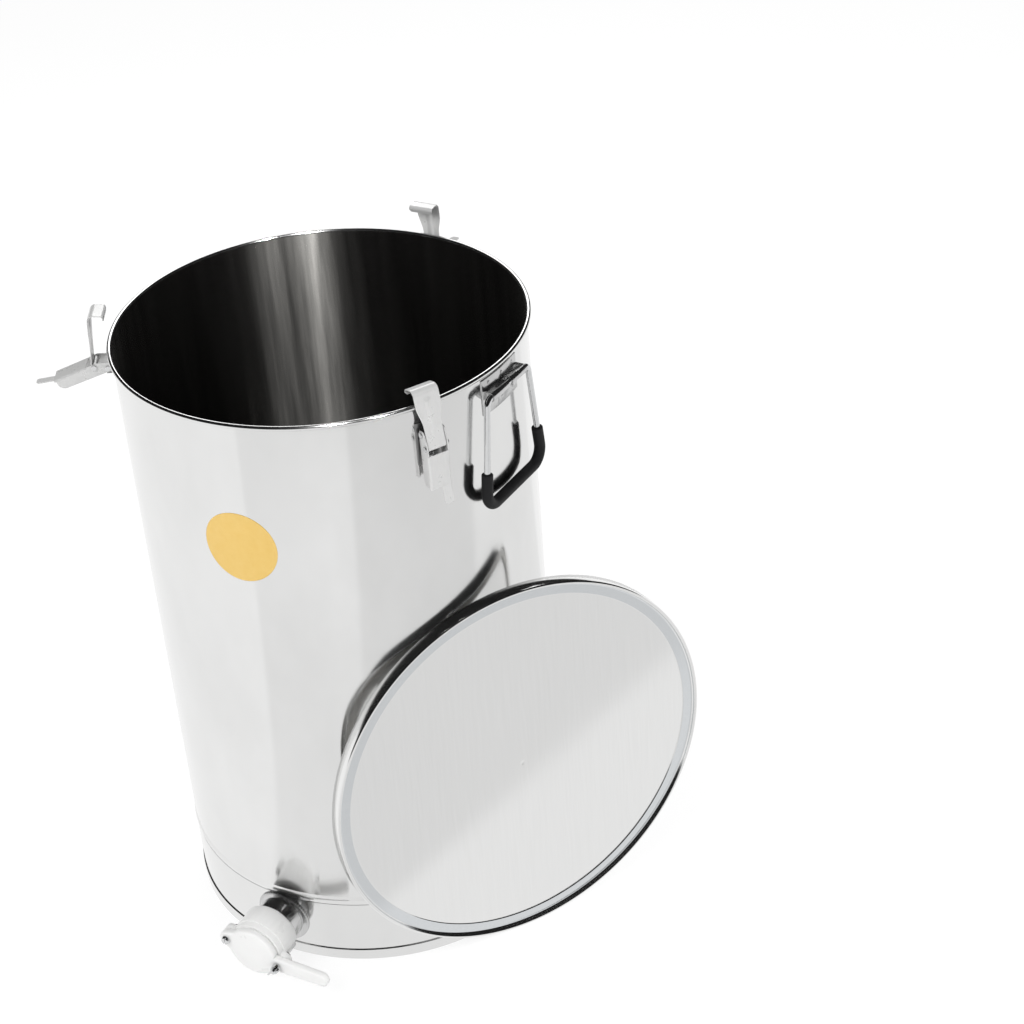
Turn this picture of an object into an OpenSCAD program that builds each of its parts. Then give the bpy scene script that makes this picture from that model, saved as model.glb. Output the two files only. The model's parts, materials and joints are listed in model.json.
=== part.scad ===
// Honey settling tank: a straight steel vessel with a loose lid, three toggle latches,
// two drop handles and a plastic honey gate. Millimetres, +Z up, origin on the tank's axis at the floor.

/* [Tank] */
// Inside diameter of the tank
tank_d = 395; // [320:1:450]
// Height from the floor to the top of the rolled rim
tank_h = 642; // [520:1:760]
// Sheet thickness of the walls and floor
wall_t = 1; // [0.8:0.1:1.6]
// Diameter of the rolled rim
curl_d = 5; // [4:0.1:7]
// Height of the seam between the base ring and the body
seam_z = 74; // [72:1:110]
// How far the stiffening bead above the seam stands proud
bead_proud = 1; // [0.5:0.1:2]
// Height of the stiffening bead
bead_h = 10; // [6:0.5:16]
// Height of the folded hem that the tank stands on
hem_h = 13; // [8:0.5:18]
// How far the hem stands proud of the wall
hem_proud = 1.3; // [0.8:0.1:2.5]
// Height of the tank's floor above the ground
floor_z = 18; // [12:0.5:20]
// Height of the floor's turned-down flange
floor_flange = 10; // [6:0.5:11]

/* [Lid] */
// Outside diameter of the lid
lid_d = 414; // [340:1:470]
// Sheet thickness of the lid
lid_t = 0.8; // [0.6:0.1:1.2]
// Width of the sunk groove round the raised panel
groove_w = 11.6; // [8:0.2:16]
// Width of the raised lip outside the groove
lip_w = 3.4; // [2.6:0.1:5]
// Height of the raised panel above the groove
panel_rise = 4.6; // [3:0.1:7]
// Height of the lip above the groove
lip_rise = 4.5; // [3.5:0.1:7]
// Depth from the panel's face to the edge of the skirt
lid_h = 12.8; // [10:0.1:18]
// Bend radius of the pressed corners
press_r = 1.8; // [1.2:0.1:2]
// Diameter of the dimple in the middle of the panel
dimple_d = 5.6; // [3:0.1:10]
// Thickness of the lid's seal
seal_t = 3; // [2:0.1:4]
// Width of the lid's seal
seal_w = 9; // [6:0.1:10]
// Direction that the leaning lid faces, in degrees from +X
lid_az = -67.8; // [-80:0.1:-60]
// How far the leaning lid's middle lies to the side of the tank
lid_side = 72; // [40:0.5:90]
// Lean of the lid back from upright, in degrees
lid_lean = 0.8; // [0.5:0.1:6]

/* [Honey gate] */
// Direction of the outlet, in degrees from +X
outlet_az = -125; // [-140:0.5:-115]
// Height of the outlet's middle
outlet_z = 45; // [40:0.5:46]
// Outside diameter of the threaded outlet pipe
pipe_d = 48; // [40:0.1:50]
// Wall of the outlet pipe
pipe_t = 3.5; // [2:0.1:5]
// Length of the outlet pipe outside the tank
pipe_l = 42; // [34:0.5:50]
// Diameter of the weld flange round the pipe
flange_d = 58; // [54:0.5:60]
// Bare pipe between the tank and the gate's socket
pipe_show = 20; // [12:0.5:26]
// Outside diameter of the gate's socket
socket_d = 60; // [56:0.5:70]
// Thickness of the plate that the gate slides on
seat_t = 7; // [5:0.5:10]
// Thickness of the gate blade
blade_t = 8; // [6:0.5:12]
// Diameter of the round blade
blade_d = 55; // [50:0.5:60]
// Distance of each ear's screw from the outlet's middle
ear_d = 30.5; // [29:0.1:40]
// Radius of the ears
ear_r = 8.5; // [7.5:0.1:12]
// Roll of the gate about the outlet, in degrees
gate_roll = -14.5; // [-45:0.5:0]
// Reach of the blade's handle from the pivot
grip_reach = 119; // [90:1:150]
// Width of the blade's handle at its tip
grip_w = 15; // [10:0.5:20]
// Diameter of the gate's screws
screw_d = 5; // [4:0.1:6]

/* [Latches] */
// Direction of the first latch, in degrees from +X
latch_az = -65; // [-75:0.5:-55]
// Height of the lever's pin below the rim
latch_drop = 29; // [26:0.5:34]
// Distance of the lever's pin from the wall
pin_out = 6.5; // [5.5:0.1:8]
// Diameter of the latch pins
pin_d = 3.4; // [2.6:0.1:4]
// Distance between the lever's side walls, inside
lever_in = 19.6; // [15:0.1:22]
// Sheet thickness of the latches
latch_t = 1.2; // [0.8:0.1:1.6]
// Length of the lever from its pin
lever_l = 54; // [44:0.5:60]
// Height of the lever's back above the line through its pin
lever_back = 9.6; // [8:0.1:12]
// Length of the finger tab
tab_l = 18; // [8:0.5:20]
// Width of the finger tab
tab_w = 9; // [7:0.1:11]
// How far the finger tab lies to one side
tab_side = 5; // [0:0.1:5]
// Distance from the lever's pin down to the hook's pin
crank = 12; // [10:0.1:14]
// Distance from the lever's pin out to the hook's pin
crank_out = 6; // [5.5:0.1:6.5]
// Height of the hook above its pin
hook_h = 56; // [54:0.5:64]
// Width of the hook's curled end
hook_w = 26; // [20:0.5:30]
// Depth of the hook's curled end
hook_depth = 16; // [13:0.1:18]
// Drop of the hook's tip
hook_tip = 12; // [10:0.1:13]
// Opening of the two swung-out levers, in degrees
lever_open = 70; // [40:1:95]
// Lean of the standing hooks, in degrees
lean_open = 5; // [0:0.5:5]

/* [Handles] */
// Direction of the first handle, in degrees from +X
handle_az = -37.5; // [-45:0.5:-30]
// Depth of the handle's hinge line below the rim
handle_drop = 23; // [22:0.5:34]
// Diameter of the bail wire
wire_d = 6; // [5:0.1:8]
// Diameter of the soft grip
soft_d = 11; // [9:0.1:14]
// Width of the bail at its hinge line
bail_top = 74; // [60:0.5:84]
// Width of the bail at the grip
bail_bottom = 103; // [90:0.5:130]
// Length of the bail
bail_l = 109; // [90:0.5:130]
// Bend radius at the top of the bail
bend_top = 7; // [6:0.1:10]
// Bend radius at the grip
bend_bottom = 15; // [12:0.1:20]
// How far the grip runs up each leg
grip_up = 20; // [10:0.5:30]
// Distance of the bail from the wall
bail_out = 7.5; // [7:0.1:10]
// Gap between the two knuckles of the hinge strap
strap_gap = 6; // [3:0.5:12]
// Height of the hinge strap
strap_h = 36; // [28:0.5:40]
// Thickness of the hinge strap
strap_t = 1.2; // [0.8:0.1:2]

/* [Hidden] */
$fn = 96;
// Clearance between pieces that turn on each other
run_gap = 0.08;
// Clearance between pieces that are welded, pressed or screwed together
seat_gap = 0.05;
// Clearance between pieces of different bodies that only pass each other
pass_gap = 0.3;
r_in = tank_d / 2;
r_out = r_in + wall_t;
lid_r = lid_d / 2;
lip_in = lid_r - lip_w;
panel_r = lip_in - groove_w;
lip_r = lip_w / 2;
lip_top = lip_rise - panel_rise;
groove_under = -panel_rise - lid_t;
dimple_depth = lid_t / 2;
dimple_ball = (dimple_d * dimple_d / 4 + dimple_depth * dimple_depth) / (2 * dimple_depth);
// Height, on the lid's edge, of the point that touches the tank
lid_touch = sqrt(lid_r * lid_r - lid_side * lid_side);
lid_out = r_out + pass_gap + lid_h * cos(lid_lean) + lid_touch * sin(lid_lean);
lid_z = lid_r * cos(lid_lean) + lid_h * sin(lid_lean) + seat_gap;
pipe_r = pipe_d / 2;
pipe_bore = pipe_r - pipe_t;
socket_r = socket_d / 2;
seat_x = pipe_show + 32;
blade_x = seat_x + pass_gap;
blade_front = blade_x + blade_t;
seal_ring_w = 3;
seal_ring_t = 2;
screw_r = screw_d / 2;
screw_head = 3.4;
nut_t = 4;
nut_af = 1.6 * screw_d;
wing_h = 9;
wing_reach = 9;
pin_r = pin_d / 2;
pin_z = tank_h - latch_drop;
lug_r = pin_r + 1.5;
lug_y = lever_in / 2 - pass_gap - latch_t;
lever_w = lever_in + 2 * latch_t;
base_w = lever_w + 4;
base_up = lug_r + 6;
base_down = 34;
knuckle_r = pin_r + 1.1;
hook_base_w = lever_in - 1.2;
hook_face = knuckle_r;
curl_r = 6;
tip_r = 4;
// Place of the rolled rim's middle, seen from the closed hook's pin, and its lean on to the rim
rim_x = curl_d / 2 - wall_t - pin_out - crank_out;
rim_z = latch_drop - curl_d / 2 + crank;
lean_closed = atan2(rim_z, rim_x) - acos((hook_face - latch_t - curl_d / 2 - pass_gap) / norm([rim_x, rim_z]));
web_start = crank + knuckle_r + 1.2;
head_r = pin_r + 1.1;
head_t = 1;
latches = [["front", latch_az, 0, lean_closed],
           ["left", latch_az + 240, lever_open, lean_open],
           ["rear", latch_az + 120, lever_open, lean_open]];
wire_r = wire_d / 2;
soft_r = soft_d / 2;
barrel_r = wire_r + run_gap + strap_t;
handle_z = tank_h - handle_drop;
leg_tilt = atan2((bail_bottom - bail_top) / 2, bail_l);
bend_in = bend_top * tan((90 - leg_tilt) / 2);
strap_w = bail_top - 2 * bend_in - 1;
bend_out = bend_bottom * tan((90 + leg_tilt) / 2);
bend_lap = 1;
bend_thin = 0.03;
handles = [["right", handle_az], ["left", handle_az + 180]];
steel = "#c8cbce";
bright = "#d9dbdd";
white = "#f5f5f2";
black = "#1b1b1d";
seal = "#e4e2dc";

// Points along an arc about c, from angle a0 to a1
function arc(c, r, a0, a1, n = 6) =
    [for (i = [0 : n]) let (a = a0 + (a1 - a0) * i / n) [c[0] + r * cos(a), c[1] + r * sin(a)]];
// Place of the hook's pin, outwards and upwards, for a lever that is open by a degrees
function hook_pin_at(a) = [pin_out + crank_out * cos(a) + crank * sin(a),
                           pin_z + crank_out * sin(a) - crank * cos(a)];

// Local frame on the wall: x outwards, y along the wall, z up
module on_wall(az, z = 0) { rotate([0, 0, az]) translate([r_out, 0, z]) children(); }
// A solid drawn along z, laid along x or along y
module along_x() { rotate([0, 90, 0]) children(); }
module along_y() { rotate([-90, 0, 0]) children(); }
// A flat shape in x and z, given a width along y about the middle
module slab(w) { translate([0, w / 2, 0]) rotate([90, 0, 0]) linear_extrude(w) children(); }
// A flat shape drawn in y and z, given a thickness along x
module sheet(t) { rotate([90, 0, 90]) linear_extrude(t) children(); }
// A patch of sheet that follows the tank's wall, in the wall's local frame
module wall_patch(w, z0, z1, t) {
    intersection() {
        translate([-r_out, 0, z0]) difference() {
            cylinder(r = r_out + t, h = z1 - z0);
            translate([0, 0, -1]) cylinder(r = r_out + seat_gap, h = z1 - z0 + 2);
        }
        translate([-r_out / 4, -w / 2, z0 - 1]) cube([r_out / 2, w, z1 - z0 + 2]);
    }
}

// Upper wall with its stiffening bead and rolled rim
module body_shell() {
    bead_r = (bead_h * bead_h / 4 + bead_proud * bead_proud) / (2 * bead_proud);
    color(steel) rotate_extrude() {
        translate([r_in, seam_z]) square([wall_t, tank_h - curl_d / 2 - seam_z]);
        translate([r_in + curl_d / 2, tank_h - curl_d / 2]) circle(d = curl_d);
        intersection() {
            translate([r_out + bead_proud - bead_r, seam_z + 1 + bead_h / 2]) circle(r = bead_r);
            translate([r_in, seam_z + 1]) square([wall_t + bead_proud, bead_h]);
        }
    }
}

// Lower wall with the folded hem at its foot and a hole for the outlet
module base_ring() {
    color(steel) difference() {
        rotate_extrude() {
            translate([r_in, 0]) square([wall_t, seam_z]);
            translate([r_out, 0]) square([hem_proud, hem_h - hem_proud]);
            intersection() {
                translate([r_out, hem_h - hem_proud]) circle(r = hem_proud);
                translate([r_out, hem_h - hem_proud]) square(hem_proud);
            }
        }
        on_wall(outlet_az, outlet_z) translate([-wall_t - 10, 0, 0])
            along_x() cylinder(r = pipe_r + seat_gap, h = wall_t + 20);
    }
}

// Floor of the tank, a flat disc with a rounded corner and a turned-down flange
module tank_floor() {
    corner = floor_flange * 0.6;
    rim = r_in - seat_gap;
    color(steel) rotate_extrude() {
        translate([0, floor_z - wall_t]) square([rim - corner, wall_t]);
        translate([rim - corner, floor_z - corner]) intersection() {
            difference() {
                circle(r = corner);
                circle(r = corner - wall_t);
            }
            square(corner);
        }
        translate([rim - wall_t, floor_z - floor_flange]) square([wall_t, floor_flange - corner]);
    }
}

// Threaded outlet pipe with the saddle flange that is welded to the wall
module outlet_pipe() {
    thread_pitch = 2.3;
    turns = floor((pipe_l - pipe_show - 4) / thread_pitch);
    color(steel) on_wall(outlet_az, outlet_z) difference() {
        union() {
            translate([-8, 0, 0]) along_x() cylinder(r = pipe_r, h = pipe_l + 8);
            intersection() {
                translate([-20, 0, 0]) along_x() cylinder(d = flange_d, h = 40);
                translate([-r_out, 0, -outlet_z + hem_h + 1]) difference() {
                    cylinder(r = r_out + 2, h = seam_z - hem_h - 2);
                    translate([0, 0, -1]) cylinder(r = r_out + seat_gap, h = seam_z);
                }
            }
        }
        translate([-9, 0, 0]) along_x() cylinder(r = pipe_bore, h = pipe_l + 10);
        for (i = [1 : turns]) translate([pipe_l - i * thread_pitch, 0, 0]) along_x() difference() {
            cylinder(r = pipe_r + 1, h = thread_pitch * 0.4);
            translate([0, 0, -1]) cylinder(r = pipe_r - 0.7, h = thread_pitch + 2);
        }
    }
}

// Local frame of the gate: the outlet's frame, rolled about its axis
module on_gate() { on_wall(outlet_az, outlet_z) rotate([gate_roll, 0, 0]) children(); }
// Outline of a round plate with an ear at each side
module eared(r) {
    circle(r = r);
    for (s = [-1, 1]) translate([s * ear_d, 0]) circle(r = ear_r);
    translate([-ear_d, -ear_r]) square([2 * ear_d, 2 * ear_r]);
}

// Plastic socket that screws on to the pipe, with the seat that the blade slides on
module gate_socket() {
    back = pipe_show;
    step = 3;
    color(white) on_gate() difference() {
        union() {
            rotate([0, 90, 0]) rotate_extrude() {
                translate([pipe_r + seat_gap, back]) square([socket_r - step - pipe_r - seat_gap, step]);
                translate([0, back + step]) square([socket_r, seat_x - seat_t - back - step]);
                intersection() {
                    translate([socket_r - step, back + step]) circle(r = step);
                    translate([socket_r - step, back]) square(step);
                }
            }
            translate([seat_x - seat_t, 0, 0]) sheet(seat_t) eared(socket_r - 1);
        }
        translate([back - 1, 0, 0]) along_x() cylinder(r = pipe_r + seat_gap, h = pipe_l - back + 4);
        along_x() cylinder(r = pipe_bore, h = seat_x + 1);
        translate([seat_x - seal_ring_t, 0, 0]) along_x() difference() {
            cylinder(r = pipe_bore + 1 + seal_ring_w, h = seal_ring_t + 1);
            translate([0, 0, -1]) cylinder(r = pipe_bore + 1, h = seal_ring_t + 3);
        }
        for (s = [-1, 1]) translate([0, s * ear_d, 0]) along_x() {
            cylinder(r = screw_r + seat_gap, h = seat_x + 1);
            cylinder(r = nut_af / sqrt(3) + 0.4, h = seat_x - seat_t);
        }
    }
}

// Flat seal between the pipe's end and the socket
module pipe_seal() {
    color(black) on_gate() translate([pipe_l + 0.1, 0, 0]) along_x() difference() {
        cylinder(r = pipe_r - seat_gap, h = 2.8);
        translate([0, 0, -1]) cylinder(r = pipe_bore + 0.2, h = 5);
    }
}

// Ring seal let into the seat, behind the blade
module gate_seal() {
    color(black) on_gate() translate([seat_x - seal_ring_t + seat_gap, 0, 0]) along_x() difference() {
        cylinder(r = pipe_bore + 1 + seal_ring_w - seat_gap, h = seal_ring_t);
        translate([0, 0, -1]) cylinder(r = pipe_bore + 1 + seat_gap, h = seal_ring_t + 2);
    }
}

// Swinging blade with its pivot ear, the open notch for the lock stud and a handle
module gate_blade() {
    notch = screw_r + 0.9;
    crown = 2;
    color(white) on_gate() difference() {
        union() {
            translate([blade_x, 0, 0]) sheet(blade_t) {
                eared(blade_d / 2);
                hull() {
                    translate([ear_d - 4, 0]) circle(r = ear_r, $fn = 32);
                    rotate(3) translate([grip_reach - ear_d - grip_w / 2, 9]) circle(d = grip_w, $fn = 32);
                }
            }
            translate([blade_front, 0, 0]) along_x() cylinder(r1 = blade_d / 2 - 4, r2 = blade_d / 2 - 9, h = crown);
        }
        translate([0, -ear_d, 0]) along_x() cylinder(r = screw_r + run_gap, h = blade_front + 5);
        translate([0, ear_d, 0]) along_x() cylinder(r = notch, h = blade_front + 5);
        translate([blade_x - 1, ear_d - notch, -ear_r - 10]) cube([blade_t + 2, 2 * notch, ear_r + 10]);
        translate([blade_front - 0.2, ear_d, 0]) along_x() cylinder(r = wing_reach + 1, h = crown + 2);
        translate([blade_front - 0.2, -ear_d, 0]) along_x() cylinder(r = ear_r + 1, h = crown + 2);
    }
}

// Slotted screw that the blade swings on
module pivot_screw() {
    head = screw_r + 2.4;
    color(bright) on_gate() translate([0, -ear_d, 0]) difference() {
        union() {
            translate([seat_x - seat_t - nut_t - 2, 0, 0])
                along_x() cylinder(r = screw_r, h = blade_front - seat_x + seat_t + nut_t + 2 + pass_gap);
            translate([blade_front + pass_gap, 0, 0]) along_x() cylinder(r1 = head, r2 = head - 1, h = screw_head);
        }
        translate([blade_front + pass_gap + screw_head - 1.4, -0.6, -head - 1]) cube([3, 1.2, 2 * head + 2]);
    }
}

// Hexagon nut behind the pivot ear
module pivot_nut() {
    color(bright) on_gate() translate([seat_x - seat_t - nut_t, -ear_d, 0]) along_x() difference() {
        cylinder(r = nut_af / sqrt(3), h = nut_t - seat_gap, $fn = 6);
        translate([0, 0, -1]) cylinder(r = screw_r + seat_gap, h = nut_t + 2);
    }
}

// Stud in the other ear, with its head behind the seat
module lock_stud() {
    color(bright) on_gate() translate([0, ear_d, 0]) {
        translate([seat_x - seat_t - seat_gap, 0, 0])
            along_x() cylinder(r = screw_r, h = seat_t + blade_t + pass_gap + wing_h);
        translate([seat_x - seat_t - nut_t, 0, 0])
            along_x() cylinder(r = nut_af / sqrt(3), h = nut_t - seat_gap, $fn = 6);
    }
}

// Wing nut that clamps the blade shut
module wing_nut() {
    hub = screw_r + 2.6;
    color(bright) on_gate() translate([blade_front + pass_gap, ear_d, 0]) difference() {
        union() {
            along_x() cylinder(r1 = hub, r2 = hub - 1, h = wing_h - 3);
            for (s = [-1, 1]) rotate([-35, 0, 0]) slab(1.6)
                polygon([[1, 0], [1, s * hub], [wing_h - 3, s * wing_reach], [wing_h, s * (wing_reach - 1)],
                         [wing_h - 2, s * hub * 0.7], [wing_h - 3, 0]]);
        }
        translate([-1, 0, 0]) along_x() cylinder(r = screw_r + run_gap, h = wing_h + 2);
    }
}

// Frame of the leaning lid: z is the lid's own axis, from its inside to its face
module on_lid() {
    rotate([0, 0, lid_az]) translate([lid_out, lid_side, lid_z]) rotate([0, 90 - lid_lean, 0]) children();
}

// Pressed lid: raised panel, sunk groove, rolled lip and skirt
module lid() {
    panel_c = [panel_r - press_r, -press_r];
    foot_c = [panel_r + press_r, press_r - panel_rise];
    wall_c = [lip_in - press_r, press_r - panel_rise];
    lip_c = [lip_in + lip_r, lip_top - lip_r];
    face = concat([[0, 0]], arc(panel_c, press_r, 90, 0), arc(foot_c, press_r, 180, 270),
                  arc(wall_c, press_r, 270, 360), arc(lip_c, lip_r, 180, 0, 10), [[lid_r, -lid_h]]);
    under = concat([[lid_r - lid_t, -lid_h]], arc(lip_c, lip_r - lid_t, 0, 180, 10),
                   arc(wall_c, press_r + lid_t, 360, 270), arc(foot_c, press_r + lid_t, 270, 180),
                   arc(panel_c, press_r - lid_t, 0, 90), [[0, -lid_t]]);
    color(bright) on_lid() difference() {
        rotate_extrude() polygon(concat(face, under));
        translate([0, 0, dimple_ball - dimple_depth]) sphere(r = dimple_ball);
    }
}

// Flat seal under the groove, which the tank's rim presses into
module lid_seal() {
    color(seal) on_lid() translate([0, 0, groove_under - seal_t]) difference() {
        cylinder(r = lip_in - press_r, h = seal_t - seat_gap);
        translate([0, 0, -1]) cylinder(r = lip_in - press_r - seal_w, h = seal_t + 2);
    }
}

// Latch plate with two lugs for the lever's pin
module latch_base(az) {
    color(steel) on_wall(az) difference() {
        union() {
            wall_patch(base_w, pin_z - base_down, pin_z + base_up, latch_t);
            for (s = [-1, 1]) translate([0, s * (lug_y + latch_t / 2), pin_z]) slab(latch_t) {
                translate([pin_out, 0]) circle(r = lug_r);
                translate([latch_t / 2, -2 * lug_r]) square([pin_out - latch_t / 2, 3 * lug_r]);
                translate([pin_out, -2 * lug_r]) square([lug_r - 1, 2 * lug_r]);
            }
        }
        translate([pin_out, -base_w, pin_z]) along_y() cylinder(r = pin_r + seat_gap, h = 2 * base_w);
    }
}

// Frame of a lever that is open by a degrees: origin on its pin
module on_lever(az, a) { on_wall(az) translate([pin_out, 0, pin_z]) rotate([0, -a, 0]) children(); }

// Channel-shaped lever with a finger tab, drawn hanging
module latch_lever(az, a) {
    arm_r = lug_r + 0.6;
    color(bright) on_lever(az, a) difference() {
        union() {
            for (s = [-1, 1]) translate([0, s * (lever_w - latch_t) / 2, 0]) slab(latch_t) {
                circle(r = arm_r);
                polygon([[-arm_r, 0], [-arm_r * 0.6, -lever_l * 0.85], [arm_r * 0.7, -lever_l],
                         [lever_back, -lever_l], [lever_back, -crank + knuckle_r + 1], [arm_r, 0]]);
            }
            translate([lever_back - latch_t, -lever_w / 2, -lever_l])
                cube([latch_t, lever_w, lever_l - web_start]);
            translate([lever_back - latch_t / 2, -tab_side, -lever_l + 0.4]) rotate([0, -14, 0])
                translate([-latch_t / 2, 0, 0]) sheet(latch_t) {
                    translate([-tab_w / 2, -tab_l + tab_w / 4]) square([tab_w, tab_l - tab_w / 4]);
                    translate([-tab_w / 4, -tab_l]) square([tab_w / 2, tab_l]);
                    for (s = [-1, 1]) translate([s * tab_w / 4, -tab_l + tab_w / 4]) circle(r = tab_w / 4);
                }
        }
        translate([0, -lever_w, 0]) along_y() cylinder(r = pin_r + run_gap, h = 2 * lever_w);
        translate([crank_out, -lever_w, -crank]) along_y() cylinder(r = pin_r + seat_gap, h = 2 * lever_w);
    }
}

// A pin across the lever with a head at each end
module headed_pin() {
    half = lever_w / 2 + pass_gap;
    translate([0, -half, 0]) along_y() cylinder(r = pin_r, h = 2 * half);
    for (s = [-1, 1]) translate([0, s * (half + head_t / 2) - head_t / 2, 0]) along_y() cylinder(r = head_r, h = head_t);
}

// The pin that a lever carries for its hook
module hook_pin(az, a) { color(bright) on_lever(az, a) translate([crank_out, 0, -crank]) headed_pin(); }

// The pins that the three levers turn on
module lever_pins() { for (l = latches) color(bright) on_wall(l[1]) translate([pin_out, 0, pin_z]) headed_pin(); }

// Domed rivets that hold the latch plates, two to a plate
module latch_rivets() {
    for (l = latches, k = [13, 26]) color(bright) on_wall(l[1]) translate([latch_t, 0, pin_z - k]) intersection() {
        translate([-1.5, 0, 0]) sphere(r = 3.4);
        translate([seat_gap, -5, -5]) cube(10);
    }
}

// Strip hook: a rolled eye, a widening strip with a rib and a curled end
module latch_hook(az, a, lean) {
    at = hook_pin_at(a);
    inner = hook_face - latch_t;
    rib_r = 2.4;
    rib_l = hook_h * 0.5;
    top_c = [hook_face - curl_r, hook_h - curl_r];
    tip_c = [hook_face - hook_depth + tip_r, hook_h - tip_r];
    tip_z = hook_h - hook_tip;
    strip = concat([[hook_face, 0]], arc(top_c, curl_r, 0, 90), arc(tip_c, tip_r, 90, 180),
                   [[tip_c[0] - tip_r, tip_z], [tip_c[0] - tip_r + latch_t, tip_z]],
                   arc(tip_c, tip_r - latch_t, 180, 90), arc(top_c, curl_r - latch_t, 90, 0), [[inner, 0]]);
    color(bright) on_wall(az) translate([at[0], 0, at[1]]) rotate([0, -lean, 0]) difference() {
        union() {
            intersection() {
                slab(hook_w) polygon(strip);
                translate([-hook_h, 0, 0]) sheet(2 * hook_h)
                    polygon([[-hook_base_w / 2, -1], [hook_base_w / 2, -1], [hook_base_w / 2, hook_h * 0.4],
                             [hook_w / 2, hook_h * 0.75], [hook_w / 2, hook_h + 1], [-hook_w / 2, hook_h + 1],
                             [-hook_w / 2, hook_h * 0.75], [-hook_base_w / 2, hook_h * 0.4]]);
            }
            translate([0, -hook_base_w / 2, 0]) along_y() cylinder(r = knuckle_r, h = hook_base_w);
            intersection() {
                translate([hook_face - rib_r + 0.7, 0, hook_h * 0.3]) {
                    cylinder(r = rib_r, h = rib_l);
                    for (z = [0, rib_l]) translate([0, 0, z]) sphere(r = rib_r);
                }
                translate([inner, -rib_r, 0]) cube([latch_t + 1, 2 * rib_r, hook_h]);
            }
        }
        translate([0, -hook_w, 0]) along_y() cylinder(r = pin_r + run_gap, h = 2 * hook_w);
    }
}

// Hinge strap: a plate on the wall with a raised barrel in two knuckles for the bail's top wire
module handle_strap(az) {
    plate_up = strap_h * 0.4;
    color(steel) on_wall(az) difference() {
        union() {
            wall_patch(strap_w, handle_z + plate_up - strap_h, handle_z + plate_up, strap_t);
            difference() {
                translate([0, -strap_w / 2, handle_z]) {
                    translate([bail_out, 0, 0]) along_y() cylinder(r = barrel_r, h = strap_w);
                    translate([-4, 0, -barrel_r]) cube([bail_out + 4, strap_w, 2 * barrel_r]);
                }
                translate([-r_out, 0, 0]) cylinder(r = r_out + seat_gap, h = tank_h);
                translate([strap_t, -strap_gap / 2, handle_z - barrel_r - 1])
                    cube([bail_out + barrel_r, strap_gap, 2 * barrel_r + 2]);
            }
        }
        translate([bail_out, -strap_w, handle_z]) along_y() cylinder(r = wire_r + run_gap, h = 2 * strap_w);
    }
}

// Frame of a bail: x along the wall, y up, origin on the hinge line
module on_bail(az) { on_wall(az, handle_z) translate([bail_out, 0, 0]) rotate([90, 0, 90]) children(); }
// Straight length of round bar between two points
module rod(p, q, r) {
    d = q - p;
    translate([p[0], p[1], 0]) rotate([0, 0, atan2(d[1], d[0])]) along_x() cylinder(r = r, h = norm(d));
}
// Bent length of round bar about c, with bend radius b: a shade thinner, and let into the straight bars
module bend(c, b, a0, a1, r) {
    translate([c[0], c[1], 0]) rotate([0, 0, a0 - bend_lap]) rotate_extrude(angle = a1 - a0 + 2 * bend_lap)
        translate([b, 0]) circle(r = r - bend_thin);
}
// Straight lengths of the bail's foot: the lower bar and a length up each leg
module foot_bars(r, up) {
    low = [bail_bottom / 2 - bend_out, -bail_l];
    start = low + [bend_bottom * cos(leg_tilt), bend_bottom * (1 + sin(leg_tilt))];
    rod([-low[0], low[1]], low, r);
    for (s = [0, 1]) mirror([s, 0, 0]) rod(start, start + up * [-sin(leg_tilt), cos(leg_tilt)], r);
}
// The two bends at the bail's foot
module foot_bends(r) {
    for (s = [0, 1]) mirror([s, 0, 0])
        bend([bail_bottom / 2 - bend_out, bend_bottom - bail_l], bend_bottom, -90, leg_tilt, r);
}

// Closed loop of bent wire that hangs from the strap
module handle_bail(az) {
    turn = [bail_top / 2 - bend_in, -bend_top];
    leg = norm([(bail_bottom - bail_top) / 2, bail_l]) - bend_in - bend_out;
    color(bright) on_bail(az) {
        union() {
            rod([-turn[0], 0], [turn[0], 0], wire_r);
            foot_bars(wire_r, leg);
        }
        union() {
            for (s = [0, 1]) mirror([s, 0, 0]) bend(turn, bend_top, leg_tilt, 90, wire_r);
            foot_bends(wire_r);
        }
    }
}

// Soft black sleeve on the lower bar and its bends
module handle_grip(az) {
    color(black) on_bail(az) difference() {
        union() {
            foot_bars(soft_r, grip_up);
            foot_bends(soft_r);
        }
        union() {
            foot_bars(wire_r + seat_gap, grip_up + 1);
            foot_bends(wire_r + seat_gap);
        }
    }
}

body_shell();
base_ring();
tank_floor();
outlet_pipe();
gate_socket();
pipe_seal();
gate_seal();
gate_blade();
pivot_screw();
pivot_nut();
lock_stud();
wing_nut();
lid();
lid_seal();
lever_pins();
latch_rivets();
for (l = latches) {
    latch_base(l[1]);
    latch_lever(l[1], l[2]);
    hook_pin(l[1], l[2]);
    latch_hook(l[1], l[2], l[3]);
}
for (h = handles) {
    handle_strap(h[1]);
    handle_bail(h[1]);
    handle_grip(h[1]);
}
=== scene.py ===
import json
import math
import bpy
import numpy as np
from mathutils import Matrix, Vector

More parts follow.
